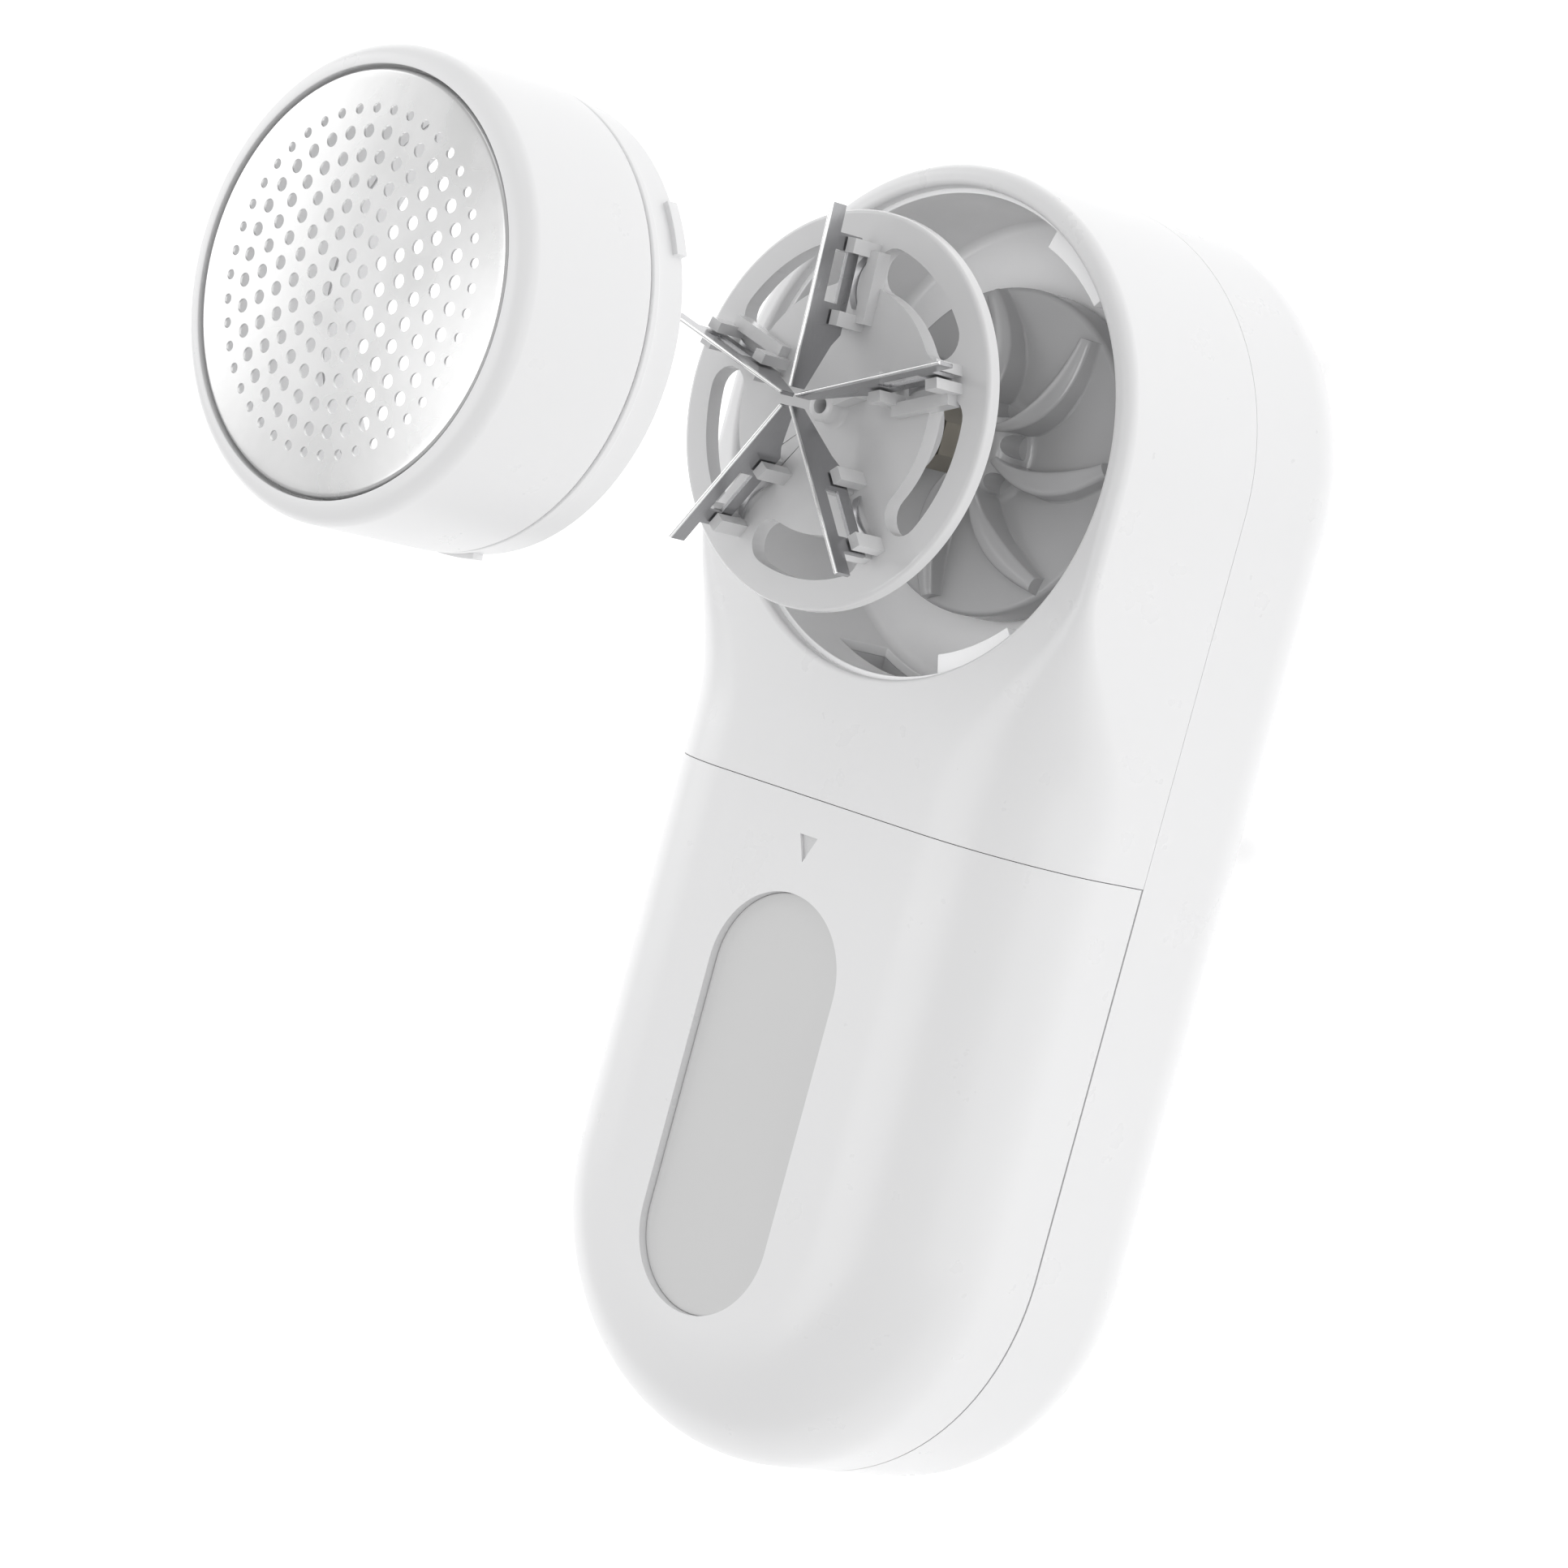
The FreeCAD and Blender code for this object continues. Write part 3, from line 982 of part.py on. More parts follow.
def battery_leads():
    board_top = BOARD_Z + BOARD
    leads = []
    for side in (-1, 1):
        route = [V(CELL_X + 1.7, side * 4, CELL_Z), V(CELL_X + 5, side * 4.5, CELL_Z + 2.5),
                 V(CELL_X + 11, side * 5.5, CELL_Z + 3.5), V(CELL_X + 16.5, side * 7.5, CELL_Z + 2.5),
                 V(CELL_X + 18.5, side * 9.5, board_top + WIRE_RADIUS)]
        leads.append(wire_tube(route, WIRE_RADIUS))
    return Part.makeCompound(leads)


def motor_leads():
    board_top = BOARD_Z + BOARD
    start_x = BOARD_X[1] - 1.5
    leads = []
    for side in (-1, 1):
        route = [V(start_x, side * 11.5, board_top + WIRE_RADIUS), V(start_x + 1.5, side * 13.0, board_top + 4),
                 V(start_x + 5.5, side * 14.5, board_top + 3.5), V(start_x + 9.0, side * 14.8, board_top - 1.5),
                 V(start_x + 12.5, side * 14.0, CAN_BOTTOM_Z - END_CAP / 2),
                 V(start_x + 15.0, side * (CAN_RADIUS - 0.2), CAN_BOTTOM_Z - END_CAP / 2)]
        leads.append(wire_tube(route, WIRE_RADIUS))
    return Part.makeCompound(leads)


NODES = {
    "front_shell": front_shell, "back_shell": back_shell, "bore_liner": bore_liner, "air_duct": air_duct,
    "inlet_seal": inlet_seal, "motor_plate": motor_plate, "motor_can": motor_can,
    "motor_magnets": motor_magnets, "motor_end_cap": motor_end_cap, "motor_bush": motor_bush,
    "motor_screws": motor_screws, "shell_screws": shell_screws, "deck_screws": deck_screws,
    "mid_deck": mid_deck, "latch_spring": latch_spring, "battery_cell": battery_cell,
    "battery_cradle": battery_cradle, "control_board": control_board, "slide_switch": slide_switch,
    "charge_board": charge_board, "charge_port": charge_port, "light_pipe": light_pipe,
    "battery_leads": battery_leads, "motor_leads": motor_leads,
    "motor_shaft": motor_shaft, "motor_armature": motor_armature, "impeller": impeller,
    "drive_dog": drive_dog, "cutter_wheel": cutter_wheel, "hub_insert": hub_insert,
    "blade_springs": blade_springs, "head_shell": head_shell, "foil": foil, "foil_sleeve": foil_sleeve,
    "lock_collar": lock_collar, "lint_box_shell": lint_box_shell, "lint_window": lint_window,
    "exhaust_filter": exhaust_filter, "switch_knob": switch_knob,
}

os.makedirs("parts", exist_ok=True)
for node_name, make in NODES.items():
    export(make(), node_name)
for number, blade_angle in enumerate(BLADE_ANGLES, start=1):
    export(blade(blade_angle), "cutter_blade_" + str(number))
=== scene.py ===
from math import atan2, cos, pi, radians, sin, tau

import bmesh
import bpy
from mathutils import Matrix, Vector
from mathutils.geometry import delaunay_2d_cdt


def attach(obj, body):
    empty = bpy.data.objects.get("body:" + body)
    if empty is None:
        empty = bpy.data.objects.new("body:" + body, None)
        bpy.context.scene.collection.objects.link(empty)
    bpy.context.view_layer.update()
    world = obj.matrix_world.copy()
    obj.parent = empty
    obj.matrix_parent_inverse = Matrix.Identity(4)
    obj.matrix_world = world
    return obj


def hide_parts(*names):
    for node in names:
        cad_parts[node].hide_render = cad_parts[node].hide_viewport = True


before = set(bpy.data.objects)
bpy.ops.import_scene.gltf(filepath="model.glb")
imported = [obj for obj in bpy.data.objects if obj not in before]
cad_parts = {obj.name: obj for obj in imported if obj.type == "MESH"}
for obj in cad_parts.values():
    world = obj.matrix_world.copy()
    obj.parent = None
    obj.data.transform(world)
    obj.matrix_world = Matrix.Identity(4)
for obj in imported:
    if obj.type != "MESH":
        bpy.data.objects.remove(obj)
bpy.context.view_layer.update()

scene = bpy.context.scene
MM = 0.001

# ---- Studio ----
# A seamless white floor that is clear from below, a wide soft light behind the part, one
# above, low ones beside it, and one that reaches only the bore.
FLOOR_SIZE, FLOOR_Z = 6.0, -0.0003
FLOOR_GLOW = 0.47
WORLD_GLOW = 0.52
KEY_POWER, TOP_POWER, LOW_POWER, END_POWER, BORE_POWER = 3.0, 4.5, 2.5, 1.4, 3.2
WHITE = (1.0, 1.0, 1.0, 1.0)

scene.view_settings.view_transform = "Standard"
scene.view_settings.look = "None"


def dial(node, values):
    """Sets a node's sockets by name."""
    for socket, value in values.items():
        node.inputs[socket].default_value = value


def node_material(name):
    """A new material, with its nodes, its link function and its shader."""
    material = bpy.data.materials.new(name)
    material.use_nodes = True
    tree = material.node_tree
    return material, tree.nodes, tree.links.new, tree.nodes["Principled BSDF"]


half = FLOOR_SIZE / 2
floor_mesh = bpy.data.meshes.new("studio_floor")
floor_mesh.from_pydata([(-half, -half, FLOOR_Z), (half, -half, FLOOR_Z), (half, half, FLOOR_Z),
                        (-half, half, FLOOR_Z)], [], [(0, 1, 2, 3)])
floor = bpy.data.objects.new("studio_floor", floor_mesh)
scene.collection.objects.link(floor)
floor_material, nodes, link, floor_shader = node_material("studio_floor")
dial(floor_shader, {"Base Color": (0.93, 0.93, 0.93, 1.0), "Roughness": 0.9, "Emission Color": WHITE,
                    "Emission Strength": FLOOR_GLOW})
one_sided = nodes.new("ShaderNodeMixShader")
link(nodes.new("ShaderNodeNewGeometry").outputs["Backfacing"], one_sided.inputs["Fac"])
link(floor_shader.outputs["BSDF"], one_sided.inputs[1])
link(nodes.new("ShaderNodeBsdfTransparent").outputs["BSDF"], one_sided.inputs[2])
link(one_sided.outputs["Shader"], nodes["Material Output"].inputs["Surface"])
floor_mesh.materials.append(floor_material)

world = bpy.data.worlds.new("studio_world")
scene.world = world
world.use_nodes = True
dial(world.node_tree.nodes["Background"], {"Color": WHITE, "Strength": WORLD_GLOW})


def soft_light(name, place, size, power):
    """A square area light that looks at the middle of the part."""
    data = bpy.data.lights.new(name, "AREA")
    data.shape = "SQUARE"
    data.size = size
    data.energy = power
    lamp = bpy.data.objects.new(name, data)
    scene.collection.objects.link(lamp)
    aim = Vector((0, 0, 0.05)) - Vector(place)
    lamp.matrix_world = Matrix.Translation(place) @ aim.to_track_quat("-Z", "Y").to_matrix().to_4x4()
    return lamp


soft_light("key_light", (0.25, 1.15, 0.58), 0.78, KEY_POWER)
soft_light("top_light", (-0.15, 0.25, 1.25), 0.9, TOP_POWER)
soft_light("low_light", (0.1, -1.2, 0.12), 0.9, LOW_POWER)
soft_light("end_light", (1.2, -0.1, 0.5), 0.8, END_POWER)
bore_lamp = soft_light("bore_light", (0.1, -0.45, 0.7), 0.5, BORE_POWER)
bore_lit = bpy.data.collections.new("bore_lit")
bore_lamp.light_linking.receiver_collection = bore_lit

AZIMUTH, ELEVATION, ROLL = radians(5.3), radians(47.0), radians(-78.8)
LOOK_AT = Vector((0.0023, 0.0014, 0.0512))
DISTANCE = 0.7828
LENS, SENSOR = 149.07, 36.0
backward = Vector((sin(AZIMUTH) * cos(ELEVATION), -cos(AZIMUTH) * cos(ELEVATION), sin(ELEVATION)))
level = Vector((0, 0, 1)).cross(backward).normalized()
rightward = level * cos(ROLL) + backward.cross(level) * sin(ROLL)
camera_data = bpy.data.cameras.new("camera")
camera_data.sensor_width = SENSOR
camera_data.lens = LENS
camera = bpy.data.objects.new("camera", camera_data)
scene.collection.objects.link(camera)
camera_axes = Matrix((rightward, backward.cross(rightward), backward)).transposed().to_4x4()
camera.matrix_world = Matrix.Translation(LOOK_AT + backward * DISTANCE) @ camera_axes
scene.camera = camera

# ---- Front casing ----
# White moulded shell of the head end: a round tower about the bore, whose sharp front edge
# softens into the handle. A bulkhead closes it at the seam, and screws from the back hold it.
HALF_WIDTH, BODY_DEPTH, PARTING_Z, WALL = 33.0, 46.0, 22.0, 2.0
BORE_X, TAIL_X = 47.5, -47.5
SEAM_X, PANEL_GAP = 1.3, 0.035
HEAD_ROUND, HANDLE_ROUND = 1.6, 16.0
BLEND_START, BLEND_LENGTH = 12.0, 28.0
CASING_ROWS, CASING_STEP, CASING_ARC = 20, 1.4, 72
BORE_RADIUS, BORE_EDGE, BORE_EDGE_LAP = 30.2, 0.8, 0.5
BULKHEAD, EDGE_SOFTNESS = 2.0, 0.12
SEAL_RECESS, SEAL_MARGIN = 1.0, 1.8
DUCT_HALF, DUCT_BOTTOM_Z, DUCT_TOP_Z = 12.0, 28.0, 37.0
TAB_Y, TAB_HALF, TAB_BOTTOM_Z, TAB_TOP_Z, TAB_CLEARANCE = 22.0, 3.0, 25.0, 26.4, 0.3
OVER = 1.0


def feed(link, value, socket):
    """Sets a socket to a value, or links another socket to it."""
    if isinstance(value, (int, float, tuple)):
        socket.default_value = value
    else:
        link(value, socket)


def noise(nodes, link, place, scale, detail=2.0):
    texture = nodes.new("ShaderNodeTexNoise")
    texture.inputs["Detail"].default_value = detail
    feed(link, scale, texture.inputs["Scale"])
    link(place, texture.inputs["Vector"])
    return texture.outputs["Fac"]


def calculate(nodes, link, operation, *values):
    """A Math node over sockets and numbers."""
    node = nodes.new("ShaderNodeMath")
    node.operation = operation
    for socket, value in zip(node.inputs, values):
        feed(link, value, socket)
    return node.outputs[0]


def vector_of(nodes, link, operation, vector, other):
    """A Vector Math node over a vector and another one, or over a vector and its scale."""
    node = nodes.new("ShaderNodeVectorMath")
    node.operation = operation
    link(vector, node.inputs[0])
    feed(link, other, node.inputs["Scale" if operation == "SCALE" else 1])
    return node.outputs["Vector"]


def bumped(nodes, link, height, strength, distance):
    """The normal that a Bump node gives over a height."""
    bump = nodes.new("ShaderNodeBump")
    bump.inputs["Distance"].default_value = distance
    feed(link, strength, bump.inputs["Strength"])
    link(height, bump.inputs["Height"])
    return bump.outputs["Normal"]


def skin_group(name, inputs):
    """A shader node group with named inputs that gives a colour, a roughness and a normal."""
    group = bpy.data.node_groups.new(name, "ShaderNodeTree")
    for socket, kind, value in inputs:
        group.interface.new_socket(socket, in_out="INPUT", socket_type="NodeSocket" + kind).default_value = value
    for socket, kind in (("Color", "Color"), ("Roughness", "Float"), ("Normal", "Vector")):
        group.interface.new_socket(socket, in_out="OUTPUT", socket_type="NodeSocket" + kind)
    nodes = group.nodes
    place = nodes.new("ShaderNodeTexCoord").outputs["Object"]
    given, out = nodes.new("NodeGroupInput").outputs, nodes.new("NodeGroupOutput").inputs
    return group, nodes, group.links.new, place, given, out


def moulded_surface():
    """Moulded plastic: faint flow marks in the tone, an uneven gloss and a fine orange peel."""
    group, nodes, link, place, given, out = skin_group("moulded_surface", (
        ("Color", "Color", (0.8, 0.8, 0.8, 1)), ("Roughness", "Float", 0.3), ("Grain", "Float", 900.0),
        ("Depth", "Float", 0.04), ("Mottle", "Float", 0.03)))
    flow = noise(nodes, link, place, 26.0, 3.0)
    shade = calculate(nodes, link, "MULTIPLY_ADD", flow, given["Mottle"], 0.985)
    link(vector_of(nodes, link, "SCALE", given["Color"], shade), out["Color"])
    patch = noise(nodes, link, place, 160.0, 4.0)
    link(calculate(nodes, link, "MULTIPLY_ADD", patch, 0.10, given["Roughness"]), out["Roughness"])
    peel = noise(nodes, link, place, given["Grain"])
    link(bumped(nodes, link, peel, given["Depth"], 0.0001), out["Normal"])
    return group


MOULDED = moulded_surface()


def surfaced(name, group, values):
    """A Principled material whose colour, gloss and normal come from a surface group."""
    material, nodes, link, shader = node_material(name)
    skin = nodes.new("ShaderNodeGroup")
    skin.node_tree = group
    dial(skin, values)
    for source, target in (("Color", "Base Color"), ("Roughness", "Roughness"), ("Normal", "Normal")):
        link(skin.outputs[source], shader.inputs[target])
    return material, shader


def plastic(name, tone, roughness, grain=900.0, depth=0.05, mottle=0.03):
    """Moulded plastic of an even tone."""
    material, shader = surfaced(name, MOULDED, {
        "Color": (*tone, 1.0), "Roughness": roughness, "Grain": grain, "Depth": depth, "Mottle": mottle})
    shader.inputs["IOR"].default_value = 1.5
    return material


white_plastic = plastic("white_plastic", (0.86, 0.86, 0.865), 0.24)


def new_piece(name, points, faces, material):
    """A mesh piece from points in millimetres, in the part's own frame."""
    mesh = bpy.data.meshes.new(name)
    mesh.from_pydata([(x * MM, y * MM, z * MM) for x, y, z in points], [], faces)
    mesh.materials.append(material)
    piece = bpy.data.objects.new(name, mesh)
    scene.collection.objects.link(piece)
    return piece


def settle(piece):
    """Turns the piece's modifiers into plain mesh."""
    bpy.context.view_layer.update()
    graph = bpy.context.evaluated_depsgraph_get()
    mesh = bpy.data.meshes.new_from_object(piece.evaluated_get(graph))
    mesh.name = piece.name
    piece.modifiers.clear()
    piece.data = mesh
    return piece


def outward(piece):
    """Merges doubles and turns every face to the outside."""
    shape = bmesh.new()
    shape.from_mesh(piece.data)
    bmesh.ops.remove_doubles(shape, verts=shape.verts, dist=2e-6)
    bmesh.ops.recalc_face_normals(shape, faces=shape.faces)
    shape.to_mesh(piece.data)
    shape.free()
    return piece


def combine(piece, tools, operation="DIFFERENCE"):
    """Cuts tools out of a piece, or joins them to it, and throws the tools away."""
    for tool in tools:
        change = piece.modifiers.new("change", "BOOLEAN")
        change.operation = operation
        change.solver = "EXACT"
        change.object = tool
    settle(piece)
    for tool in tools:
        bpy.data.objects.remove(tool)
    return piece


def smooth(piece, sharp):
    """Smooth shading, apart from edges sharper than an angle in degrees."""
    piece.data.shade_smooth()
    piece.data.set_sharp_from_angle(angle=radians(sharp))


def finish_edges(piece, width, segments=3, angle=32.0):
    """Rounds the sharp edges and smooths the rest."""
    bevel = piece.modifiers.new("edges", "BEVEL")
    bevel.width = width * MM
    bevel.segments = segments
    bevel.limit_method = "ANGLE"
    bevel.angle_limit = radians(angle)
    bevel.miter_outer = "MITER_ARC"
    settle(piece)
    smooth(piece, 50.0)
    weighted = piece.modifiers.new("normals", "WEIGHTED_NORMAL")
    weighted.keep_sharp = True
    return settle(piece)


def hand_over(piece, body, slot, *nodes):
    """The piece rides on its body in place of the nodes that it stands for."""
    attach(piece, body)
    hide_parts(*nodes)


def extruded(name, start, end):
    """A closed solid between two like rings of points."""
    count = len(start)
    faces = [list(range(count)), list(range(count, 2 * count))]
    faces += [(k, (k + 1) % count, count + (k + 1) % count, count + k) for k in range(count)]
    return outward(new_piece(name, start + end, faces, white_plastic))


def prism(name, outline, low, high):
    """A closed prism over an outline of (x, y) points."""
    return extruded(name, [(x, y, low) for x, y in outline], [(x, y, high) for x, y in outline])


def box_piece(name, x0, x1, y0, y1, z0, z1):
    return prism(name, [(x0, y0), (x1, y0), (x1, y1), (x0, y1)], z0, z1)


def full_turn(count):
    """Even angles once round."""
    return [tau * k / count for k in range(count)]


def half_turn(count):
    """Even angles from a quarter turn back to a quarter turn on."""
    return [pi * k / count - pi / 2 for k in range(count + 1)]


def round_outline(radius, x=BORE_X, y=0.0, count=128):
    return [(x + radius * cos(turn), y + radius * sin(turn)) for turn in full_turn(count)]


def stadium_outline(x0, x1, radius, count=48):
    """Outline with two straight sides along X and two round ends."""
    turns = half_turn(count)
    head = [(x1 + radius * cos(turn), radius * sin(turn)) for turn in turns]
    return head + [(x0 - radius * cos(turn), -radius * sin(turn)) for turn in turns]


def grid_faces(columns, rows, around, along):
    """Quads over points stored column by column, closed or open around and along."""
    return [(i * rows + j, i * rows + (j + 1) % rows, (i + 1) % columns * rows + (j + 1) % rows,
             (i + 1) % columns * rows + j)
            for i in range(columns if around else columns - 1) for j in range(rows if along else rows - 1)]


def turned(name, profile, material, count=160):
    """Ring turned about the bore's axis from a closed loop of (radius, z) points."""
    points = [(BORE_X + r * cos(turn), r * sin(turn), z) for turn in full_turn(count) for r, z in profile]
    return outward(new_piece(name, points, grid_faces(count, len(profile), True, True), material))


def edge_round_at(distance):
    """Front edge round at a distance from the bore centre towards the tail."""
    u = min(max((distance - BLEND_START) / BLEND_LENGTH, 0.0), 1.0)
    return HEAD_ROUND + (HANDLE_ROUND - HEAD_ROUND) * u * u * (3 - 2 * u)


def casing_column(x, turn, inset, low):
    """Points up the wall and over the rounded front edge at one station of the outline."""
    r = max(edge_round_at(BORE_X - x) - inset, 0.3)
    reach, top = HALF_WIDTH - inset, BODY_DEPTH - inset
    profile = [(reach, low + (top - r - low) * k / 4) for k in range(4)]
    bends = [pi / 2 * k / CASING_ROWS for k in range(CASING_ROWS + 1)]
    profile += [(reach - r + r * cos(bend), top - r + r * sin(bend)) for bend in bends]
    return [(x + out * cos(turn), out * sin(turn), z) for out, z in profile]


def casing_solid(name, seam, end_x, inset, low):
    """Closed front half of the body from a cross plane at the seam round one rounded end."""
    count = round(abs(end_x - seam) / CASING_STEP)
    side = [seam + (end_x - seam) * k / count for k in range(count)]
    sweep = -pi if end_x > seam else pi
    stations = [(x, pi / 2) for x in side]
    stations += [(end_x, pi / 2 + sweep * k / CASING_ARC) for k in range(CASING_ARC + 1)]
    stations += [(x, -pi / 2) for x in reversed(side)]
    columns = [casing_column(x, angle, inset, low) for x, angle in stations]
    across, height = len(columns), len(columns[0])
    faces = grid_faces(across, height, False, False)
    faces.append([i * height + height - 1 for i in range(across)])
    faces.append([i * height for i in range(across)])
    faces.append(list(range(height)) + [(across - 1) * height + j for j in reversed(range(height))])
    points = [point for column in columns for point in column]
    return outward(new_piece(name, points, faces, white_plastic))


def duct_tool(x0, x1, margin=0.0):
    return box_piece("duct", x0, x1, -DUCT_HALF - margin, DUCT_HALF + margin, DUCT_BOTTOM_Z - margin,
                     DUCT_TOP_Z + margin)


def tab_piece(x0, x1, side, margin=0.0):
    return box_piece("tab", x0, x1, side * TAB_Y - TAB_HALF - margin, side * TAB_Y + TAB_HALF + margin,
                     TAB_BOTTOM_Z - margin, TAB_TOP_Z + margin)


seam = SEAM_X + PANEL_GAP
front_casing = casing_solid("front_casing", seam, BORE_X, 0.0, PARTING_Z)
edge_bend = [radians(180 - 15 * k) for k in range(7)]
edge_ring = [(BORE_RADIUS - BORE_EDGE_LAP, BODY_DEPTH - BORE_EDGE)]
edge_ring += [(BORE_RADIUS + BORE_EDGE * (1 + cos(bend)), BODY_DEPTH - BORE_EDGE * (1 - sin(bend)))
              for bend in edge_bend]
edge_ring += [(BORE_RADIUS + BORE_EDGE, BODY_DEPTH + OVER), (BORE_RADIUS - BORE_EDGE_LAP, BODY_DEPTH + OVER)]
tools = [casing_solid("inside", seam + BULKHEAD, BORE_X, WALL, PARTING_Z - OVER),
         prism("bore", round_outline(BORE_RADIUS, count=192), BODY_DEPTH - WALL - OVER, BODY_DEPTH + OVER),
         turned("edge", edge_ring, white_plastic, count=192),
         duct_tool(seam - OVER, seam + BULKHEAD + OVER), duct_tool(seam - OVER, seam + SEAL_RECESS, SEAL_MARGIN)]
tools += [tab_piece(seam - OVER, seam + BULKHEAD + OVER, side, TAB_CLEARANCE) for side in (-1, 1)]
combine(front_casing, tools)
finish_edges(front_casing, EDGE_SOFTNESS, 2)
hand_over(front_casing, "body", "white_casing", "front_shell")

# ---- Lint box ----
# White drawer that makes the front of the handle, with a moulded arrow, a window opening
# and two rows of vents in its tail. Its floor slides on the deck; two tabs hook its front.
BOX_LOW_Z, BOX_FLOOR, BOX_END, TAB_LENGTH = 22.3, 1.0, 1.6, 4.0
PANE_TAIL_X, PANE_HEAD_X, PANE_RADIUS = -52.65, -21.15, 10.7
ARROW_X, ARROW_LENGTH, ARROW_HALF, ARROW_DEPTH, LEVEL = -3.2, 3.3, 1.5, 0.45, 0.02
VENT_RADIUS, VENT_PITCH, VENT_ROWS = 0.55, 2.6, ((26.3, 6), (24.7, 5))


def repeat_tree():
    """Geometry nodes that place copies of an object's mesh, each a step and a turn further."""
    tree = bpy.data.node_groups.new("repeat", "GeometryNodeTree")
    face = tree.interface
    for name, kind, value in (("Count", "Int", 3), ("Step", "Vector", (0, 0, 0)), ("Turn", "Float", 0.0),
                              ("Start", "Vector", (0, 0, 0)), ("First Turn", "Float", 0.0)):
        face.new_socket(name, in_out="INPUT", socket_type="NodeSocket" + kind).default_value = value
    for name, kind in (("Shape", "Object"), ("Material", "Material")):
        face.new_socket(name, in_out="INPUT", socket_type="NodeSocket" + kind)
    face.new_socket("Geometry", in_out="OUTPUT", socket_type="NodeSocketGeometry")
    nodes, link = tree.nodes, tree.links.new
    given, out = nodes.new("NodeGroupInput").outputs, nodes.new("NodeGroupOutput").inputs
    index = nodes.new("GeometryNodeInputIndex").outputs[0]
    stride = vector_of(nodes, link, "SCALE", given["Step"], index)
    place = vector_of(nodes, link, "ADD", stride, given["Start"])
    points = nodes.new("GeometryNodePoints")
    link(given["Count"], points.inputs["Count"])
    link(place, points.inputs["Position"])
    angle = calculate(nodes, link, "MULTIPLY_ADD", index, given["Turn"], given["First Turn"])
    axis = nodes.new("ShaderNodeCombineXYZ")
    link(angle, axis.inputs["Z"])
    source = nodes.new("GeometryNodeObjectInfo")
    source.inputs["As Instance"].default_value = True
    link(given["Shape"], source.inputs["Object"])
    copies = nodes.new("GeometryNodeInstanceOnPoints")
    link(points.outputs[0], copies.inputs["Points"])
    link(source.outputs["Geometry"], copies.inputs["Instance"])
    link(axis.outputs[0], copies.inputs["Rotation"])
    real = nodes.new("GeometryNodeRealizeInstances")
    link(copies.outputs[0], real.inputs[0])
    finish = nodes.new("GeometryNodeSetMaterial")
    link(real.outputs[0], finish.inputs["Geometry"])
    link(given["Material"], finish.inputs["Material"])
    link(finish.outputs[0], out[0])
    return tree


REPEAT = repeat_tree()


def repeated(name, shape, count, step=(0, 0, 0), turn=0.0, start=(0, 0, 0), first_turn=0.0):
    """A mesh of count copies of the shape, which is thrown away."""
    piece = new_piece(name, [], [], shape.data.materials[0])
    nodes = piece.modifiers.new("repeat", "NODES")
    nodes.node_group = REPEAT
    values = {"Count": count, "Step": Vector(step) * MM, "Turn": radians(turn), "Start": Vector(start) * MM,
              "First Turn": radians(first_turn), "Shape": shape, "Material": shape.data.materials[0]}
    for item in REPEAT.interface.items_tree:
        if item.in_out == "INPUT":
            value = values[item.name]
            nodes[item.identifier] = tuple(value) if isinstance(value, Vector) else value
    piece.update_tag()
    settle(piece)
    bpy.data.objects.remove(shape)
    return piece


def about_bore(name, shape, count, first_turn=0.0):
    """Copies of a shape set evenly about the bore's axis."""
    return repeated(name, shape, count, turn=360.0 / count, start=(BORE_X, 0, 0), first_turn=first_turn)


def along_x(name, ring, x0, x1):
    """A closed rod over a ring of (y, z) points."""
    return extruded(name, [(x0, y, z) for y, z in ring], [(x1, y, z) for y, z in ring])


seam = SEAM_X - PANEL_GAP
lint_box = casing_solid("lint_box", seam, TAIL_X, 0.0, BOX_LOW_Z)
tip = TAIL_X - HALF_WIDTH
arrow_outline = [(ARROW_X, -ARROW_HALF), (ARROW_X, ARROW_HALF), (ARROW_X - ARROW_LENGTH, 0.0)]
tools = [casing_solid("inside", seam - BOX_END, TAIL_X, WALL, BOX_LOW_Z + BOX_FLOOR),
         prism("window", stadium_outline(PANE_TAIL_X, PANE_HEAD_X, PANE_RADIUS), BODY_DEPTH - WALL - OVER,
               BODY_DEPTH + OVER),
         prism("arrow", arrow_outline, BODY_DEPTH - ARROW_DEPTH, BODY_DEPTH + OVER),
         duct_tool(seam - BOX_END - OVER, seam + OVER)]
for z, count in VENT_ROWS:
    hole = along_x("vent", round_outline(VENT_RADIUS, 0.0, z, 24), tip - OVER, tip + 2 * WALL)
    tools.append(repeated("vents", hole, count, step=(0, VENT_PITCH, 0), start=(0, -VENT_PITCH * (count - 1) / 2, 0)))
combine(lint_box, tools)
combine(lint_box, [tab_piece(seam - BOX_END, seam + TAB_LENGTH, side) for side in (-1, 1)], "UNION")
finish_edges(lint_box, EDGE_SOFTNESS, 2)
# Painted shade: the arrow recess's floor gets a darker tone than the casing, standing in for the shadow of its wall.
# Its rougher, coarser grain is real texture.
lint_box.data.materials.append(plastic("etched_white", (0.70, 0.70, 0.705), 0.6, grain=4000.0, depth=0.5))
for face in lint_box.data.polygons:
    x, y, z = face.center / MM
    if abs(z - BODY_DEPTH + ARROW_DEPTH) < LEVEL and ARROW_X - ARROW_LENGTH < x < ARROW_X and abs(y) < ARROW_HALF:
        face.material_index = 1
hand_over(lint_box, "lint_box", "white_casing", "lint_box_shell")

# ---- Lint window ----
# Smoky translucent pane, moulded with a flange that lies under the lint box's wall. Its
# face stands a little below the casing.
PANE, PANE_RECESS, PANE_LAP, PANE_GAP = 1.2, 1.1, 1.4, 0.03

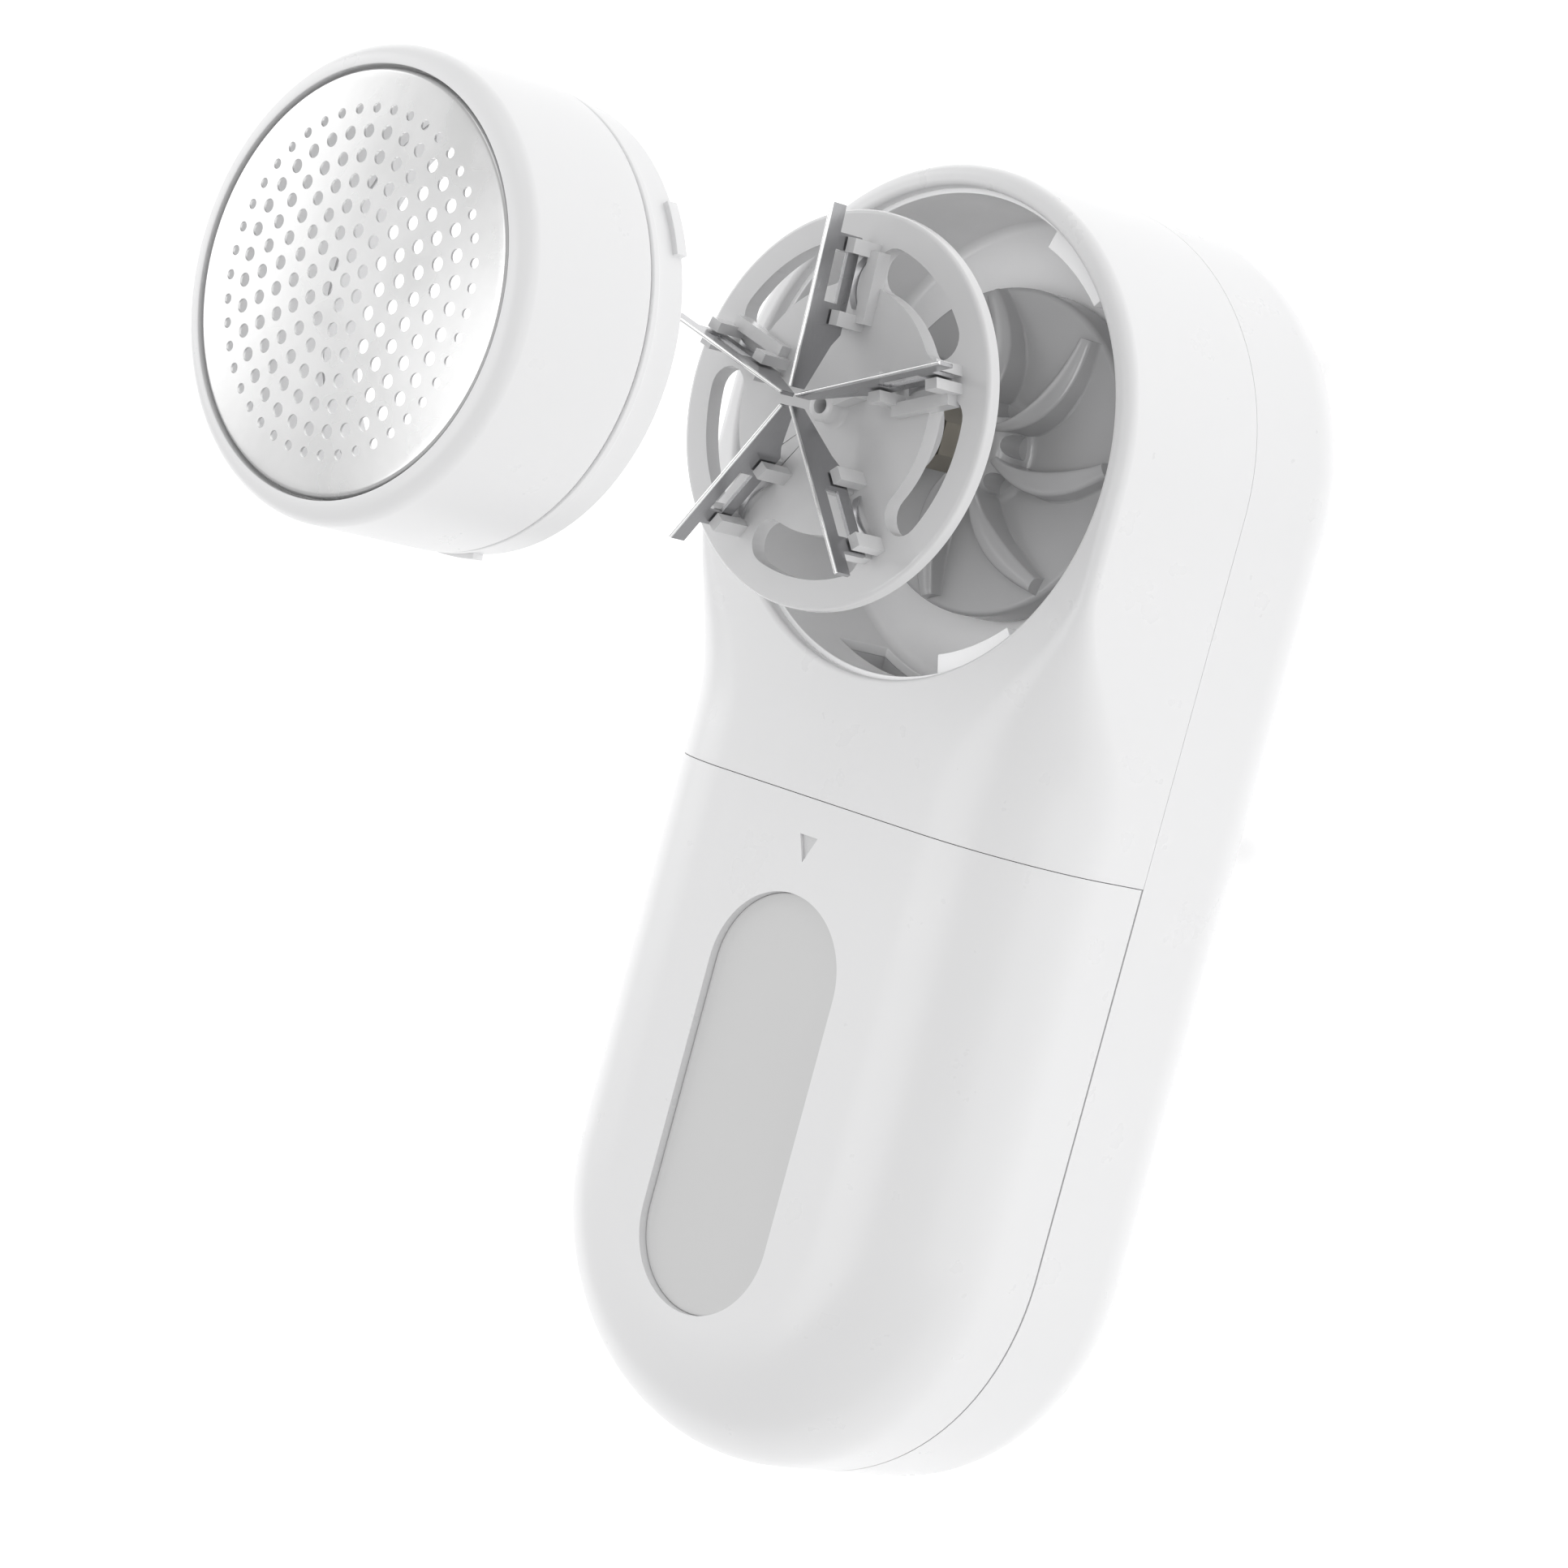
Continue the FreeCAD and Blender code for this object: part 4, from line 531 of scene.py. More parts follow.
smoke, nodes, link, shader = node_material("smoke_pane")
place = nodes.new("ShaderNodeTexCoord").outputs["Object"]
haze = calculate(nodes, link, "MULTIPLY_ADD", noise(nodes, link, place, 40.0, 3.0), 0.03, 0.74)
pane_color = nodes.new("ShaderNodeCombineColor")
for channel in ("Red", "Green", "Blue"):
    link(haze, pane_color.inputs[channel])
link(pane_color.outputs[0], shader.inputs["Base Color"])
link(calculate(nodes, link, "MULTIPLY_ADD", noise(nodes, link, place, 300.0), 0.06, 0.10),
     shader.inputs["Roughness"])
link(bumped(nodes, link, noise(nodes, link, place, 60.0), 0.05, 0.0002), shader.inputs["Normal"])
dial(shader, {"Alpha": 0.93, "IOR": 1.55})

under = BODY_DEPTH - WALL
pane = prism("window_pane", stadium_outline(PANE_TAIL_X, PANE_HEAD_X, PANE_RADIUS + PANE_LAP), under - PANE, under)
step = prism("step", stadium_outline(PANE_TAIL_X, PANE_HEAD_X, PANE_RADIUS - PANE_GAP), under - PANE / 2,
             BODY_DEPTH - PANE_RECESS)
combine(pane, [step], "UNION")
pane.data.materials[0] = smoke
finish_edges(pane, 0.2)
hand_over(pane, "lint_box", "smoke_window", "lint_window")

# ---- Back casing ----
# White moulded tray on which everything else is mounted, with a wide rounded rim. It has
# four deep screw wells, the recess of the switch and the mouth of the charging port.
BACK_ROUND = 10.0
TRAY_ROWS, TRAY_STEP, TRAY_ARC = 16, 2.5, 72
HEAD_SCREW_REACH, HEAD_SCREW_TURN, SEAM_SCREW_X, SEAM_SCREW_Y = 28.6, radians(45), 8.0, 28.4
SCREW_PLACES = [(BORE_X + HEAD_SCREW_REACH * cos(HEAD_SCREW_TURN),
                 side * HEAD_SCREW_REACH * sin(HEAD_SCREW_TURN)) for side in (-1, 1)]
SCREW_PLACES += [(SEAM_SCREW_X, side * SEAM_SCREW_Y) for side in (-1, 1)]
WELL_RADIUS, WELL_DEPTH, POST_RADIUS, SCREW_HOLE = 2.4, 9.0, 3.2, 1.3
KNOB_X, KNOB_TRAVEL, KNOB_LENGTH, KNOB_WIDTH = 18.0, 5.0, 11.0, 8.0
RECESS_MARGIN, RECESS_DEPTH, RECESS_WALL = 0.6, 2.4, 1.0
STEM_SLOT_REACH, STEM_SLOT_HALF = 1.9, 1.8
PORT_Z, PORT_HALF, PORT_HEIGHT, PORT_GAP, PORT_TUNNEL = 11.05, 4.5, 3.3, 0.25, 8.0
PIPE_RADIUS, PIPE_Y, PIPE_GAP, PIPE_TUNNEL = 1.0, 8.5, 0.1, 5.0


def tray_solid(name, inset, low, high):
    """Closed back half of the body, drawn in by an inset, with its back edge rounded."""
    reach, r = HALF_WIDTH - inset, BACK_ROUND - inset
    count = round((BORE_X - TAIL_X) / TRAY_STEP)
    side = [TAIL_X + (BORE_X - TAIL_X) * k / count for k in range(1, count)]
    stations = [(x, -pi / 2) for x in side] + [(BORE_X, turn) for turn in half_turn(TRAY_ARC)]
    stations += [(x, pi / 2) for x in reversed(side)]
    stations += [(TAIL_X, turn + pi) for turn in half_turn(TRAY_ARC)]
    bends = [pi / 2 * k / TRAY_ROWS for k in range(TRAY_ROWS + 1)]
    profile = [(reach - r + r * sin(bend), low + r - r * cos(bend)) for bend in bends]
    profile += [(reach, low + r + (high - low - r) * k / 3) for k in (1, 2, 3)]
    points = [(x + out * cos(turn), out * sin(turn), z) for x, turn in stations for out, z in profile]
    around, height = len(stations), len(profile)
    faces = grid_faces(around, height, True, False)
    faces.append([i * height for i in range(around)])
    faces.append([i * height + height - 1 for i in range(around)])
    return outward(new_piece(name, points, faces, white_plastic))


back_casing = tray_solid("back_casing", 0.0, 0.0, PARTING_Z)
hollow = tray_solid("hollow", WALL, WALL, PARTING_Z + OVER)
posts = [prism("post", round_outline(POST_RADIUS, x, y, 32), 0.0, PARTING_Z + 2 * OVER) for x, y in SCREW_PLACES]
recess_ends = (KNOB_X - (KNOB_LENGTH - KNOB_WIDTH) / 2, KNOB_X + KNOB_TRAVEL + (KNOB_LENGTH - KNOB_WIDTH) / 2)
recess_radius = KNOB_WIDTH / 2 + RECESS_MARGIN
posts.append(prism("pocket", stadium_outline(*recess_ends, recess_radius + RECESS_WALL, 24), 0.0,
                   RECESS_DEPTH + RECESS_WALL))
combine(hollow, posts)
port_reach = PORT_HALF - PORT_HEIGHT / 2
port_mouth = [(y, PORT_Z + z) for y, z in stadium_outline(-port_reach, port_reach, PORT_HEIGHT / 2 + PORT_GAP, 16)]
tools = [hollow, prism("recess", stadium_outline(*recess_ends, recess_radius, 24), -OVER, RECESS_DEPTH),
         box_piece("stem_slot", KNOB_X - STEM_SLOT_REACH, KNOB_X + KNOB_TRAVEL + STEM_SLOT_REACH, -STEM_SLOT_HALF,
                   STEM_SLOT_HALF, 0.0, 2 * RECESS_DEPTH),
         along_x("port", port_mouth, tip - OVER, tip + PORT_TUNNEL),
         along_x("pipe_hole", round_outline(PIPE_RADIUS + PIPE_GAP, PIPE_Y, PORT_Z, 24), tip - OVER,
                 tip + PIPE_TUNNEL)]
for x, y in SCREW_PLACES:
    tools.append(prism("well", round_outline(WELL_RADIUS, x, y, 40), -OVER, WELL_DEPTH))
    tools.append(prism("hole", round_outline(SCREW_HOLE, x, y, 24), WELL_DEPTH - OVER, PARTING_Z + OVER))
combine(back_casing, tools)
finish_edges(back_casing, 0.3)
hand_over(back_casing, "body", "white_casing", "back_shell")

# ---- Bore liner ----
# Light grey glossy cup that lines the bore, with a hole in its floor for the fan's shaft
# and three bayonet lugs on its wall. An opening in its tail side leads to the lint box.
LINER_RADIUS, LINER_OUTER, LINER_ROUND = 29.6, 30.7, 1.2
LINER_FLOOR_Z, LINER_FLOOR, LINER_HOLE = 24.4, 1.6, 13.0
LUG_INNER, LUG_Z, LUG_THICKNESS, LUG_SPAN, LUG_FIRST, LUG_ROOT = 26.6, 39.5, 1.8, 24.0, 90.0, 0.5

grey_gloss = plastic("grey_gloss", (0.78, 0.78, 0.785), 0.12, grain=500.0)


def arc(r, z, radius, start, end, steps=6):
    """Points of a profile arc about (r, z), in degrees from the radial direction."""
    turns = [radians(start + (end - start) * k / steps) for k in range(steps + 1)]
    return [(r + radius * cos(turn), z + radius * sin(turn)) for turn in turns]


def sector_piece(name, inner, outer, low, thickness, span, steps=8):
    """Part of a flat ring, its span in degrees."""
    turns = [radians(-span / 2 + span * k / steps) for k in range(steps + 1)]
    outline = [(outer * cos(turn), outer * sin(turn)) for turn in turns]
    outline += [(inner * cos(turn), inner * sin(turn)) for turn in reversed(turns)]
    return prism(name, outline, low, low + thickness)


floor_top = LINER_FLOOR_Z + LINER_FLOOR
liner_profile = [(LINER_HOLE, floor_top), (LINER_HOLE, LINER_FLOOR_Z), (LINER_OUTER, LINER_FLOOR_Z),
                 (LINER_OUTER, BODY_DEPTH - WALL), (LINER_RADIUS, BODY_DEPTH - WALL)]
liner_profile += arc(LINER_RADIUS - LINER_ROUND, floor_top + LINER_ROUND, LINER_ROUND, 0, -90)
liner = turned("bore_lining", liner_profile, grey_gloss)
lug = sector_piece("lug", LUG_INNER, LINER_RADIUS + LUG_ROOT, LUG_Z, LUG_THICKNESS, LUG_SPAN)
lugs = about_bore("lugs", lug, 3, LUG_FIRST)
combine(liner, [lugs], "UNION")
combine(liner, [duct_tool(BORE_X - LINER_OUTER - OVER, BORE_X - LINER_HOLE)])
finish_edges(liner, 0.15)
bore_lit.objects.link(liner)
hand_over(liner, "body", "grey_liner", "bore_liner")

# ---- Impeller ----
# Grey suction fan on the motor shaft: a shallow drum, seven curved vanes with rounded tops
# that fall towards the rim, and a domed hub with a pocket beside the root of each vane.
FAN_RADIUS, FAN_LOW_Z, FAN_FACE_Z, FAN_PLATE, FAN_SKIRT = 20.4, 27.2, 32.0, 1.4, 1.2
FAN_CHAMFER, FAN_ROUND, FAN_FILLET = 0.3, 0.7, 1.2
FAN_HUB, FAN_HUB_DROP, FAN_HUB_ROUND, FAN_TOP_Z = 6.0, 0.6, 3.0, 37.0
FAN_VANES, VANE_DROP, VANE_FALL = 7, 0.1, 3.0
VANE_ROOT, VANE_TIP, VANE_SWEEP, VANE_BOW, VANE_STEPS = 4.6, 19.4, radians(16.6), 5.0, 24
VANE_EDGE, VANE_SWELL, VANE_SWELL_END, VANE_SWELL_POWER = 0.8, 1.35, 1.2, 1.3
VANE_FOOT, VANE_NECK, VANE_BODY, VANE_NECK_RISE, VANE_CROWN = 1.15, 0.8, 0.72, 1.0, 0.6
POCKET_RADIUS, POCKET_INSET, POCKET_SIDE, POCKET_DEPTH = 1.6, 0.2, 2.7, 4.2
SHAFT_RADIUS = 1.5

# One moulding in two tones: the vanes' much lighter grey is painted light, and the drum's dark grey is painted shade
# deep in the bore.
fan_grey = plastic("fan_grey", (0.36, 0.36, 0.365), 0.16, grain=700.0)
vane_grey = plastic("vane_grey", (0.76, 0.76, 0.765), 0.2, grain=700.0)


def vane_piece():
    """One bowed vane with a rounded top, thicker at its foot, falling towards the tip."""
    tip = Vector((VANE_TIP * cos(VANE_SWEEP), VANE_TIP * sin(VANE_SWEEP)))
    root = Vector((VANE_ROOT, 0.0))
    control = (root + tip) / 2 + Vector((0.0, -VANE_BOW))
    low = FAN_FACE_Z - FAN_PLATE / 2
    points = []
    for k in range(VANE_STEPS + 1):
        u = k / VANE_STEPS
        centre = root * (1 - u) ** 2 + control * 2 * u * (1 - u) + tip * u * u
        along = ((control - root) * (1 - u) + (tip - control) * u).normalized()
        across = Vector((-along.y, along.x))
        crown_z = FAN_TOP_Z - VANE_DROP - VANE_FALL * u - VANE_CROWN
        thick = VANE_EDGE + VANE_SWELL * sin(pi * min(u / VANE_SWELL_END, 1.0)) ** VANE_SWELL_POWER
        foot, neck, body = thick * VANE_FOOT, thick * VANE_NECK, thick * VANE_BODY
        ring = [(-foot, low), (-neck, low + VANE_NECK_RISE), (-body, crown_z)]
        ring += [(body * sin(bend), crown_z + VANE_CROWN * cos(bend))
                 for bend in [radians(-60 + 20 * j) for j in range(7)]]
        ring += [(body, crown_z), (neck, low + VANE_NECK_RISE), (foot, low)]
        points += [(*(centre + across * side), z) for side, z in ring]
    height = len(ring)
    faces = grid_faces(VANE_STEPS + 1, height, False, True)
    faces += [list(range(height)), [VANE_STEPS * height + j for j in range(height)]]
    return outward(new_piece("vane", points, faces, vane_grey))


fan_under = FAN_FACE_Z - FAN_PLATE
fan_profile = [(SHAFT_RADIUS, FAN_LOW_Z - FAN_HUB_DROP), (FAN_HUB, FAN_LOW_Z - FAN_HUB_DROP), (FAN_HUB, fan_under),
               (FAN_RADIUS - FAN_SKIRT, fan_under), (FAN_RADIUS - FAN_SKIRT, FAN_LOW_Z),
               (FAN_RADIUS - FAN_CHAMFER, FAN_LOW_Z), (FAN_RADIUS, FAN_LOW_Z + FAN_CHAMFER)]
fan_profile += arc(FAN_RADIUS - FAN_ROUND, FAN_FACE_Z - FAN_ROUND, FAN_ROUND, 0, 90, 5)
fan_profile += arc(FAN_HUB + FAN_FILLET, FAN_FACE_Z + FAN_FILLET, FAN_FILLET, 270, 180, 5)
fan_profile += arc(FAN_HUB - FAN_HUB_ROUND, FAN_TOP_Z - FAN_HUB_ROUND, FAN_HUB_ROUND, 0, 90, 8)
fan_profile.append((SHAFT_RADIUS, FAN_TOP_Z))
fan = turned("suction_fan", fan_profile, fan_grey, count=112)
combine(fan, [about_bore("vanes", vane_piece(), FAN_VANES)], "UNION")
pocket = prism("pocket", round_outline(POCKET_RADIUS, FAN_HUB - POCKET_INSET, POCKET_SIDE, 20),
               FAN_TOP_Z - POCKET_DEPTH, FAN_TOP_Z + OVER)
combine(fan, [about_bore("pockets", pocket, FAN_VANES)])
finish_edges(fan, EDGE_SOFTNESS, 2)
bore_lit.objects.link(fan)
hand_over(fan, "rotor", "fan_grey", "impeller")

# ---- Cutter wheel ----
# Light grey glossy wheel with a rounded rim, five curved slots, a hub behind and a small
# tubular boss in front. Hooks, moulded in pairs, hold and guide each blade.
FACE_Z, WHEEL_RADIUS, WHEEL, RIM_ROUND, RIM_CHAMFER = 61.4, 24.2, 2.2, 0.6, 0.3
HUB_RADIUS, HUB_LOW_Z, HUB_FILLET, INSERT_RADIUS = 6.2, 48.4, 0.8, 4.9
BOSS_RADIUS, BOSS_HOLE, BOSS_HEIGHT, BOSS_FILLET, BOSS_ROUND = 1.9, 1.0, 2.4, 0.7, 0.3
SLOT_INNER, SLOT_OUTER, SLOT_SPREAD, SLOT_TURN = 15.2, 20.6, radians(20.0), 41.0
BLADE_TURN, BLADE, FIFTH = 3.0, 0.5, 72.0
HOOK_RADII, HOOK_LENGTH, HOOK_WIDTH, HOOK_HEIGHT, HOOK_GAP, SINK = (10.4, 19.2), 1.8, 1.3, 4.6, 0.2, 0.5
RIB_FAR, RIB_NEAR, RIB_HEIGHT = 2.6, 1.0, 1.6
WEB_INNER, WEB_OUTER, WEB_HALF, WEB_HEIGHT, WEB_TURN = 1.6, 5.3, 0.5, 2.2, -62.0

wheel_grey = plastic("wheel_grey", (0.76, 0.76, 0.765), 0.05, grain=500.0)


def slot_piece():
    """Curved slot with round ends, about the wheel's axis."""
    middle, end = (SLOT_INNER + SLOT_OUTER) / 2, (SLOT_OUTER - SLOT_INNER) / 2
    sweep = [SLOT_SPREAD * (k / 10 - 1) for k in range(21)]
    outline = [(SLOT_OUTER * cos(turn), SLOT_OUTER * sin(turn)) for turn in sweep]
    for side in (1, -1):
        x, y = middle * cos(SLOT_SPREAD * side), middle * sin(SLOT_SPREAD * side)
        first = SLOT_SPREAD * side + (0.0 if side > 0 else pi)
        turns = [first + pi * k / 12 for k in range(1, 12)]
        outline += [(x + end * cos(turn), y + end * sin(turn)) for turn in turns]
        if side > 0:
            outline += [(SLOT_INNER * cos(turn), SLOT_INNER * sin(turn)) for turn in reversed(sweep)]
    return prism("slot", outline, FACE_Z - WHEEL - OVER, FACE_Z + OVER)


def hook_piece():
    """The two pairs of cheeks that guide one blade and the low rib beside it, about the axis."""
    inner = BLADE / 2 + HOOK_GAP
    rib = box_piece("hook", *HOOK_RADII, -inner - RIB_FAR, -inner - RIB_NEAR, FACE_Z - SINK, FACE_Z + RIB_HEIGHT)
    cheeks = []
    for radius in HOOK_RADII:
        for side in (-1, 1):
            near, far = sorted((side * inner, side * (inner + HOOK_WIDTH)))
            cheeks.append(box_piece("cheek", radius - HOOK_LENGTH / 2, radius + HOOK_LENGTH / 2, near, far,
                                    FACE_Z - SINK, FACE_Z + HOOK_HEIGHT))
    return combine(rib, cheeks, "UNION")


under_z = FACE_Z - WHEEL
boss_z = FACE_Z + BOSS_HEIGHT
wheel_profile = [(BOSS_HOLE, boss_z), (BOSS_HOLE, under_z), (INSERT_RADIUS, under_z), (INSERT_RADIUS, HUB_LOW_Z),
                 (HUB_RADIUS, HUB_LOW_Z), (HUB_RADIUS, under_z - HUB_FILLET)]
wheel_profile += arc(HUB_RADIUS + HUB_FILLET, under_z - HUB_FILLET, HUB_FILLET, 180, 90, 4)
wheel_profile += [(WHEEL_RADIUS - RIM_CHAMFER, under_z), (WHEEL_RADIUS, under_z + RIM_CHAMFER)]
wheel_profile += arc(WHEEL_RADIUS - RIM_ROUND, FACE_Z - RIM_ROUND, RIM_ROUND, 0, 90, 6)
wheel_profile += arc(BOSS_RADIUS + BOSS_FILLET, FACE_Z + BOSS_FILLET, BOSS_FILLET, 270, 180, 5)
wheel_profile += arc(BOSS_RADIUS - BOSS_ROUND, boss_z - BOSS_ROUND, BOSS_ROUND, 0, 90, 3)
wheel = turned("blade_wheel", wheel_profile, wheel_grey, count=200)
combine(wheel, [about_bore("slots", slot_piece(), 5, SLOT_TURN)])
web = box_piece("web", WEB_INNER, WEB_OUTER, -WEB_HALF, WEB_HALF, FACE_Z - SINK, FACE_Z + WEB_HEIGHT)
combine(wheel, [about_bore("hooks", hook_piece(), 5, BLADE_TURN), about_bore("webs", web, 1, WEB_TURN)], "UNION")
finish_edges(wheel, 0.16, 2)
hand_over(wheel, "cutter", "wheel_grey", "cutter_wheel")

# ---- Blades ----
# Five thin ground steel blades that stand on edge in the wheel's hooks. Each has a long
# slot, a notched tip, a narrow root and a bright sharpened cutting edge.
EDGE_Z, BLADE_HEIGHT = 69.8, 6.5
BLADE_INNER, BLADE_OUTER, BLADE_SHOULDER = 1.3, 23.6, 8.6
TIP_LENGTH, TIP_HEIGHT, ROOT_HEIGHT = 3.2, 2.6, 2.5
SHOULDER_RUN, SHOULDER_RISE = 1.5, 1.2
GRIND, FLAT_HALF = 0.35, 0.06
HOLE_INNER, HOLE_OUTER, HOLE_LOW, HOLE_TOP = 12.05, 18.35, 4.6, 2.4


def metal_surface():
    """Worked metal: fine grinding lines along one axis, cloudy tone and uneven polish."""
    group, nodes, link, place, given, out = skin_group("metal_surface", (
        ("Color", "Color", (0.6, 0.6, 0.6, 1)), ("Roughness", "Float", 0.3),
        ("Lines", "Vector", (40.0, 4000.0, 4000.0)), ("Depth", "Float", 0.1), ("Cloud", "Float", 0.12)))
    lines = noise(nodes, link, vector_of(nodes, link, "MULTIPLY", place, given["Lines"]), 1.0)
    cloud = noise(nodes, link, place, 90.0, 3.0)
    blend = calculate(nodes, link, "ADD", calculate(nodes, link, "MULTIPLY", lines, 0.6),
                      calculate(nodes, link, "MULTIPLY", cloud, 0.4))
    shade = calculate(nodes, link, "MULTIPLY_ADD", calculate(nodes, link, "SUBTRACT", blend, 0.5),
                      given["Cloud"], 1.0)
    link(vector_of(nodes, link, "SCALE", given["Color"], shade), out["Color"])
    link(calculate(nodes, link, "MULTIPLY_ADD", cloud, 0.12, given["Roughness"]), out["Roughness"])
    link(bumped(nodes, link, lines, given["Depth"], 0.00005), out["Normal"])
    return group


METAL = metal_surface()


def metal(name, tone, roughness, lines, cloud, depth=0.1):
    material, shader = surfaced(name, METAL, {"Color": (*tone, 1.0), "Roughness": roughness, "Lines": lines,
                                              "Depth": depth, "Cloud": cloud})
    shader.inputs["Metallic"].default_value = 1.0
    return material


blade_steel = metal("blade_steel", (0.42, 0.42, 0.43), 0.20, lines=(900.0, 900.0, 6000.0), cloud=0.25)

foot, ground_z = EDGE_Z - BLADE_HEIGHT, EDGE_Z - GRIND
tip_x, tip_z = BLADE_OUTER - TIP_LENGTH, EDGE_Z - TIP_HEIGHT
blade_outline = [(BLADE_INNER, ground_z), (BLADE_OUTER, ground_z), (BLADE_OUTER, tip_z), (tip_x, tip_z),
                 (tip_x, foot), (BLADE_SHOULDER, foot), (BLADE_SHOULDER - SHOULDER_RUN, foot + SHOULDER_RISE),
                 (BLADE_INNER, EDGE_Z - ROOT_HEIGHT)]


def blade_piece(name, angle):
    """One blade: a plate standing on edge, with its cutting edge ground to a narrow flat."""
    count = len(blade_outline)
    points = [(r, side * BLADE / 2, z) for side in (-1, 1) for r, z in blade_outline]
    faces = [list(range(count)), list(range(count, 2 * count))]
    faces += [(k, k + 1, count + k + 1, count + k) for k in range(1, count - 1)]
    faces.append((count - 1, 0, count, 2 * count - 1))
    points += [(r, y, EDGE_Z) for y in (-FLAT_HALF, FLAT_HALF) for r in (BLADE_INNER, BLADE_OUTER)]
    a, b, c, d = range(2 * count, 2 * count + 4)
    faces += [(0, 1, b, a), (count, count + 1, d, c), (a, b, d, c), (0, a, c, count), (1, b, d, count + 1)]
    piece = outward(new_piece(name, points, faces, blade_steel))
    combine(piece, [box_piece("hole", HOLE_INNER, HOLE_OUTER, -OVER, OVER, EDGE_Z - HOLE_LOW, EDGE_Z - HOLE_TOP)])
    turn = Matrix.Translation((BORE_X * MM, 0, 0)) @ Matrix.Rotation(radians(angle), 4, "Z")
    piece.data.transform(turn)
    return finish_edges(piece, 0.05, 2)


edge_steel = metal("edge_steel", (0.92, 0.92, 0.92), 0.12, lines=(3000.0, 3000.0, 300.0), cloud=0.1)
for number in range(1, 6):
    blade = blade_piece(f"steel_blade_{number}", BLADE_TURN + FIFTH * (number - 1))
    blade.data.materials.append(edge_steel)
    for face in blade.data.polygons:
        if face.center.z > ground_z * MM:
            face.material_index = 1
    hand_over(blade, f"blade_{number}", "blade_steel", f"cutter_blade_{number}")

# ---- Head shell ----
# White moulded ring that holds the foil, with a soft round front rim and a narrow lip
# round the foil.
HEAD_RADIUS, HEAD_INNER, HEAD_LIP = 27.0, 25.7, 24.4
HEAD_TOP_Z, HEAD_LOW_Z, HEAD_ROUND_FRONT, HEAD_LIP_DEPTH, HEAD_LIP_ROUND = 141.5, 121.7, 2.4, 2.1, 0.12
HEAD_CHAMFER, HEAD_BEND, HEAD_WALL, HEAD_ROWS = 0.25, 0.35, 16.5, 5

head_profile = [(HEAD_INNER, HEAD_LOW_Z + HEAD_CHAMFER), (HEAD_INNER + HEAD_CHAMFER, HEAD_LOW_Z),
                (HEAD_RADIUS - HEAD_BEND, HEAD_LOW_Z), (HEAD_RADIUS - 0.1, HEAD_LOW_Z + 0.1),
                (HEAD_RADIUS, HEAD_LOW_Z + HEAD_BEND)]
head_profile += [(HEAD_RADIUS, HEAD_LOW_Z + HEAD_BEND + HEAD_WALL * k / HEAD_ROWS) for k in range(1, HEAD_ROWS)]
head_profile += arc(HEAD_RADIUS - HEAD_ROUND_FRONT, HEAD_TOP_Z - HEAD_ROUND_FRONT, HEAD_ROUND_FRONT, 0, 90, 14)
head_profile += arc(HEAD_LIP + HEAD_LIP_ROUND, HEAD_TOP_Z - HEAD_LIP_ROUND, HEAD_LIP_ROUND, 90, 180, 3)
head_profile += [(HEAD_LIP, HEAD_TOP_Z - HEAD_LIP_DEPTH), (HEAD_INNER, HEAD_TOP_Z - HEAD_LIP_DEPTH)]
head = turned("head_ring", head_profile, white_plastic, count=224)
head.data.shade_smooth()
finish_edges(head, 0.02, 1, 60.0)
hand_over(head, "head", "white_casing", "head_shell")

# ---- Foil ----
# Thin perforated steel cap, slightly domed: rings of round holes, closer outside with a
# border of smaller ones, and a turned-down edge with a flange that the sleeve clamps.
FOIL, FOIL_RADIUS, FOIL_FLANGE = 0.3, 24.0, 25.5
FOIL_EDGE_Z, FOIL_DOME, FOIL_SKIRT, FOIL_ROUND = 141.3, 0.9, 1.9, 0.5
FOIL_RINGS, FOIL_PITCH, FOIL_HOLE = 6, 2.8, 0.82
FOIL_OUTER_RING, FOIL_OUTER_COUNT, FOIL_OUTER_HOLE = 19.4, 44, 0.6
FOIL_CREASE, FOIL_FLARE = 0.1, 0.5
HOLE_SIDES, HOLE_BORDER, RIM_SIDES, RIM_LOOPS = 20, 0.3, 240, (20.6, 21.3, 22.0, 22.8)

foil_steel = metal("foil_steel", (0.76, 0.76, 0.76), 0.22, lines=(700.0, 700.0, 700.0), depth=0.12, cloud=0.08)


def foil_holes():
    """Centre hole, rings of six more holes each, and one ring of small holes outside them."""
    places = [(0.0, 0.0, FOIL_HOLE)]
    for ring in range(1, FOIL_RINGS + 1):
        places += [(ring * FOIL_PITCH, turn, FOIL_HOLE) for turn in full_turn(6 * ring)]
    places += [(FOIL_OUTER_RING, turn, FOIL_OUTER_HOLE) for turn in full_turn(FOIL_OUTER_COUNT)]
    return [(r * cos(turn), r * sin(turn), radius) for r, turn, radius in places]


def loop_points(x, y, radius, count):
    return [Vector(spot) for spot in round_outline(radius, x, y, count)]


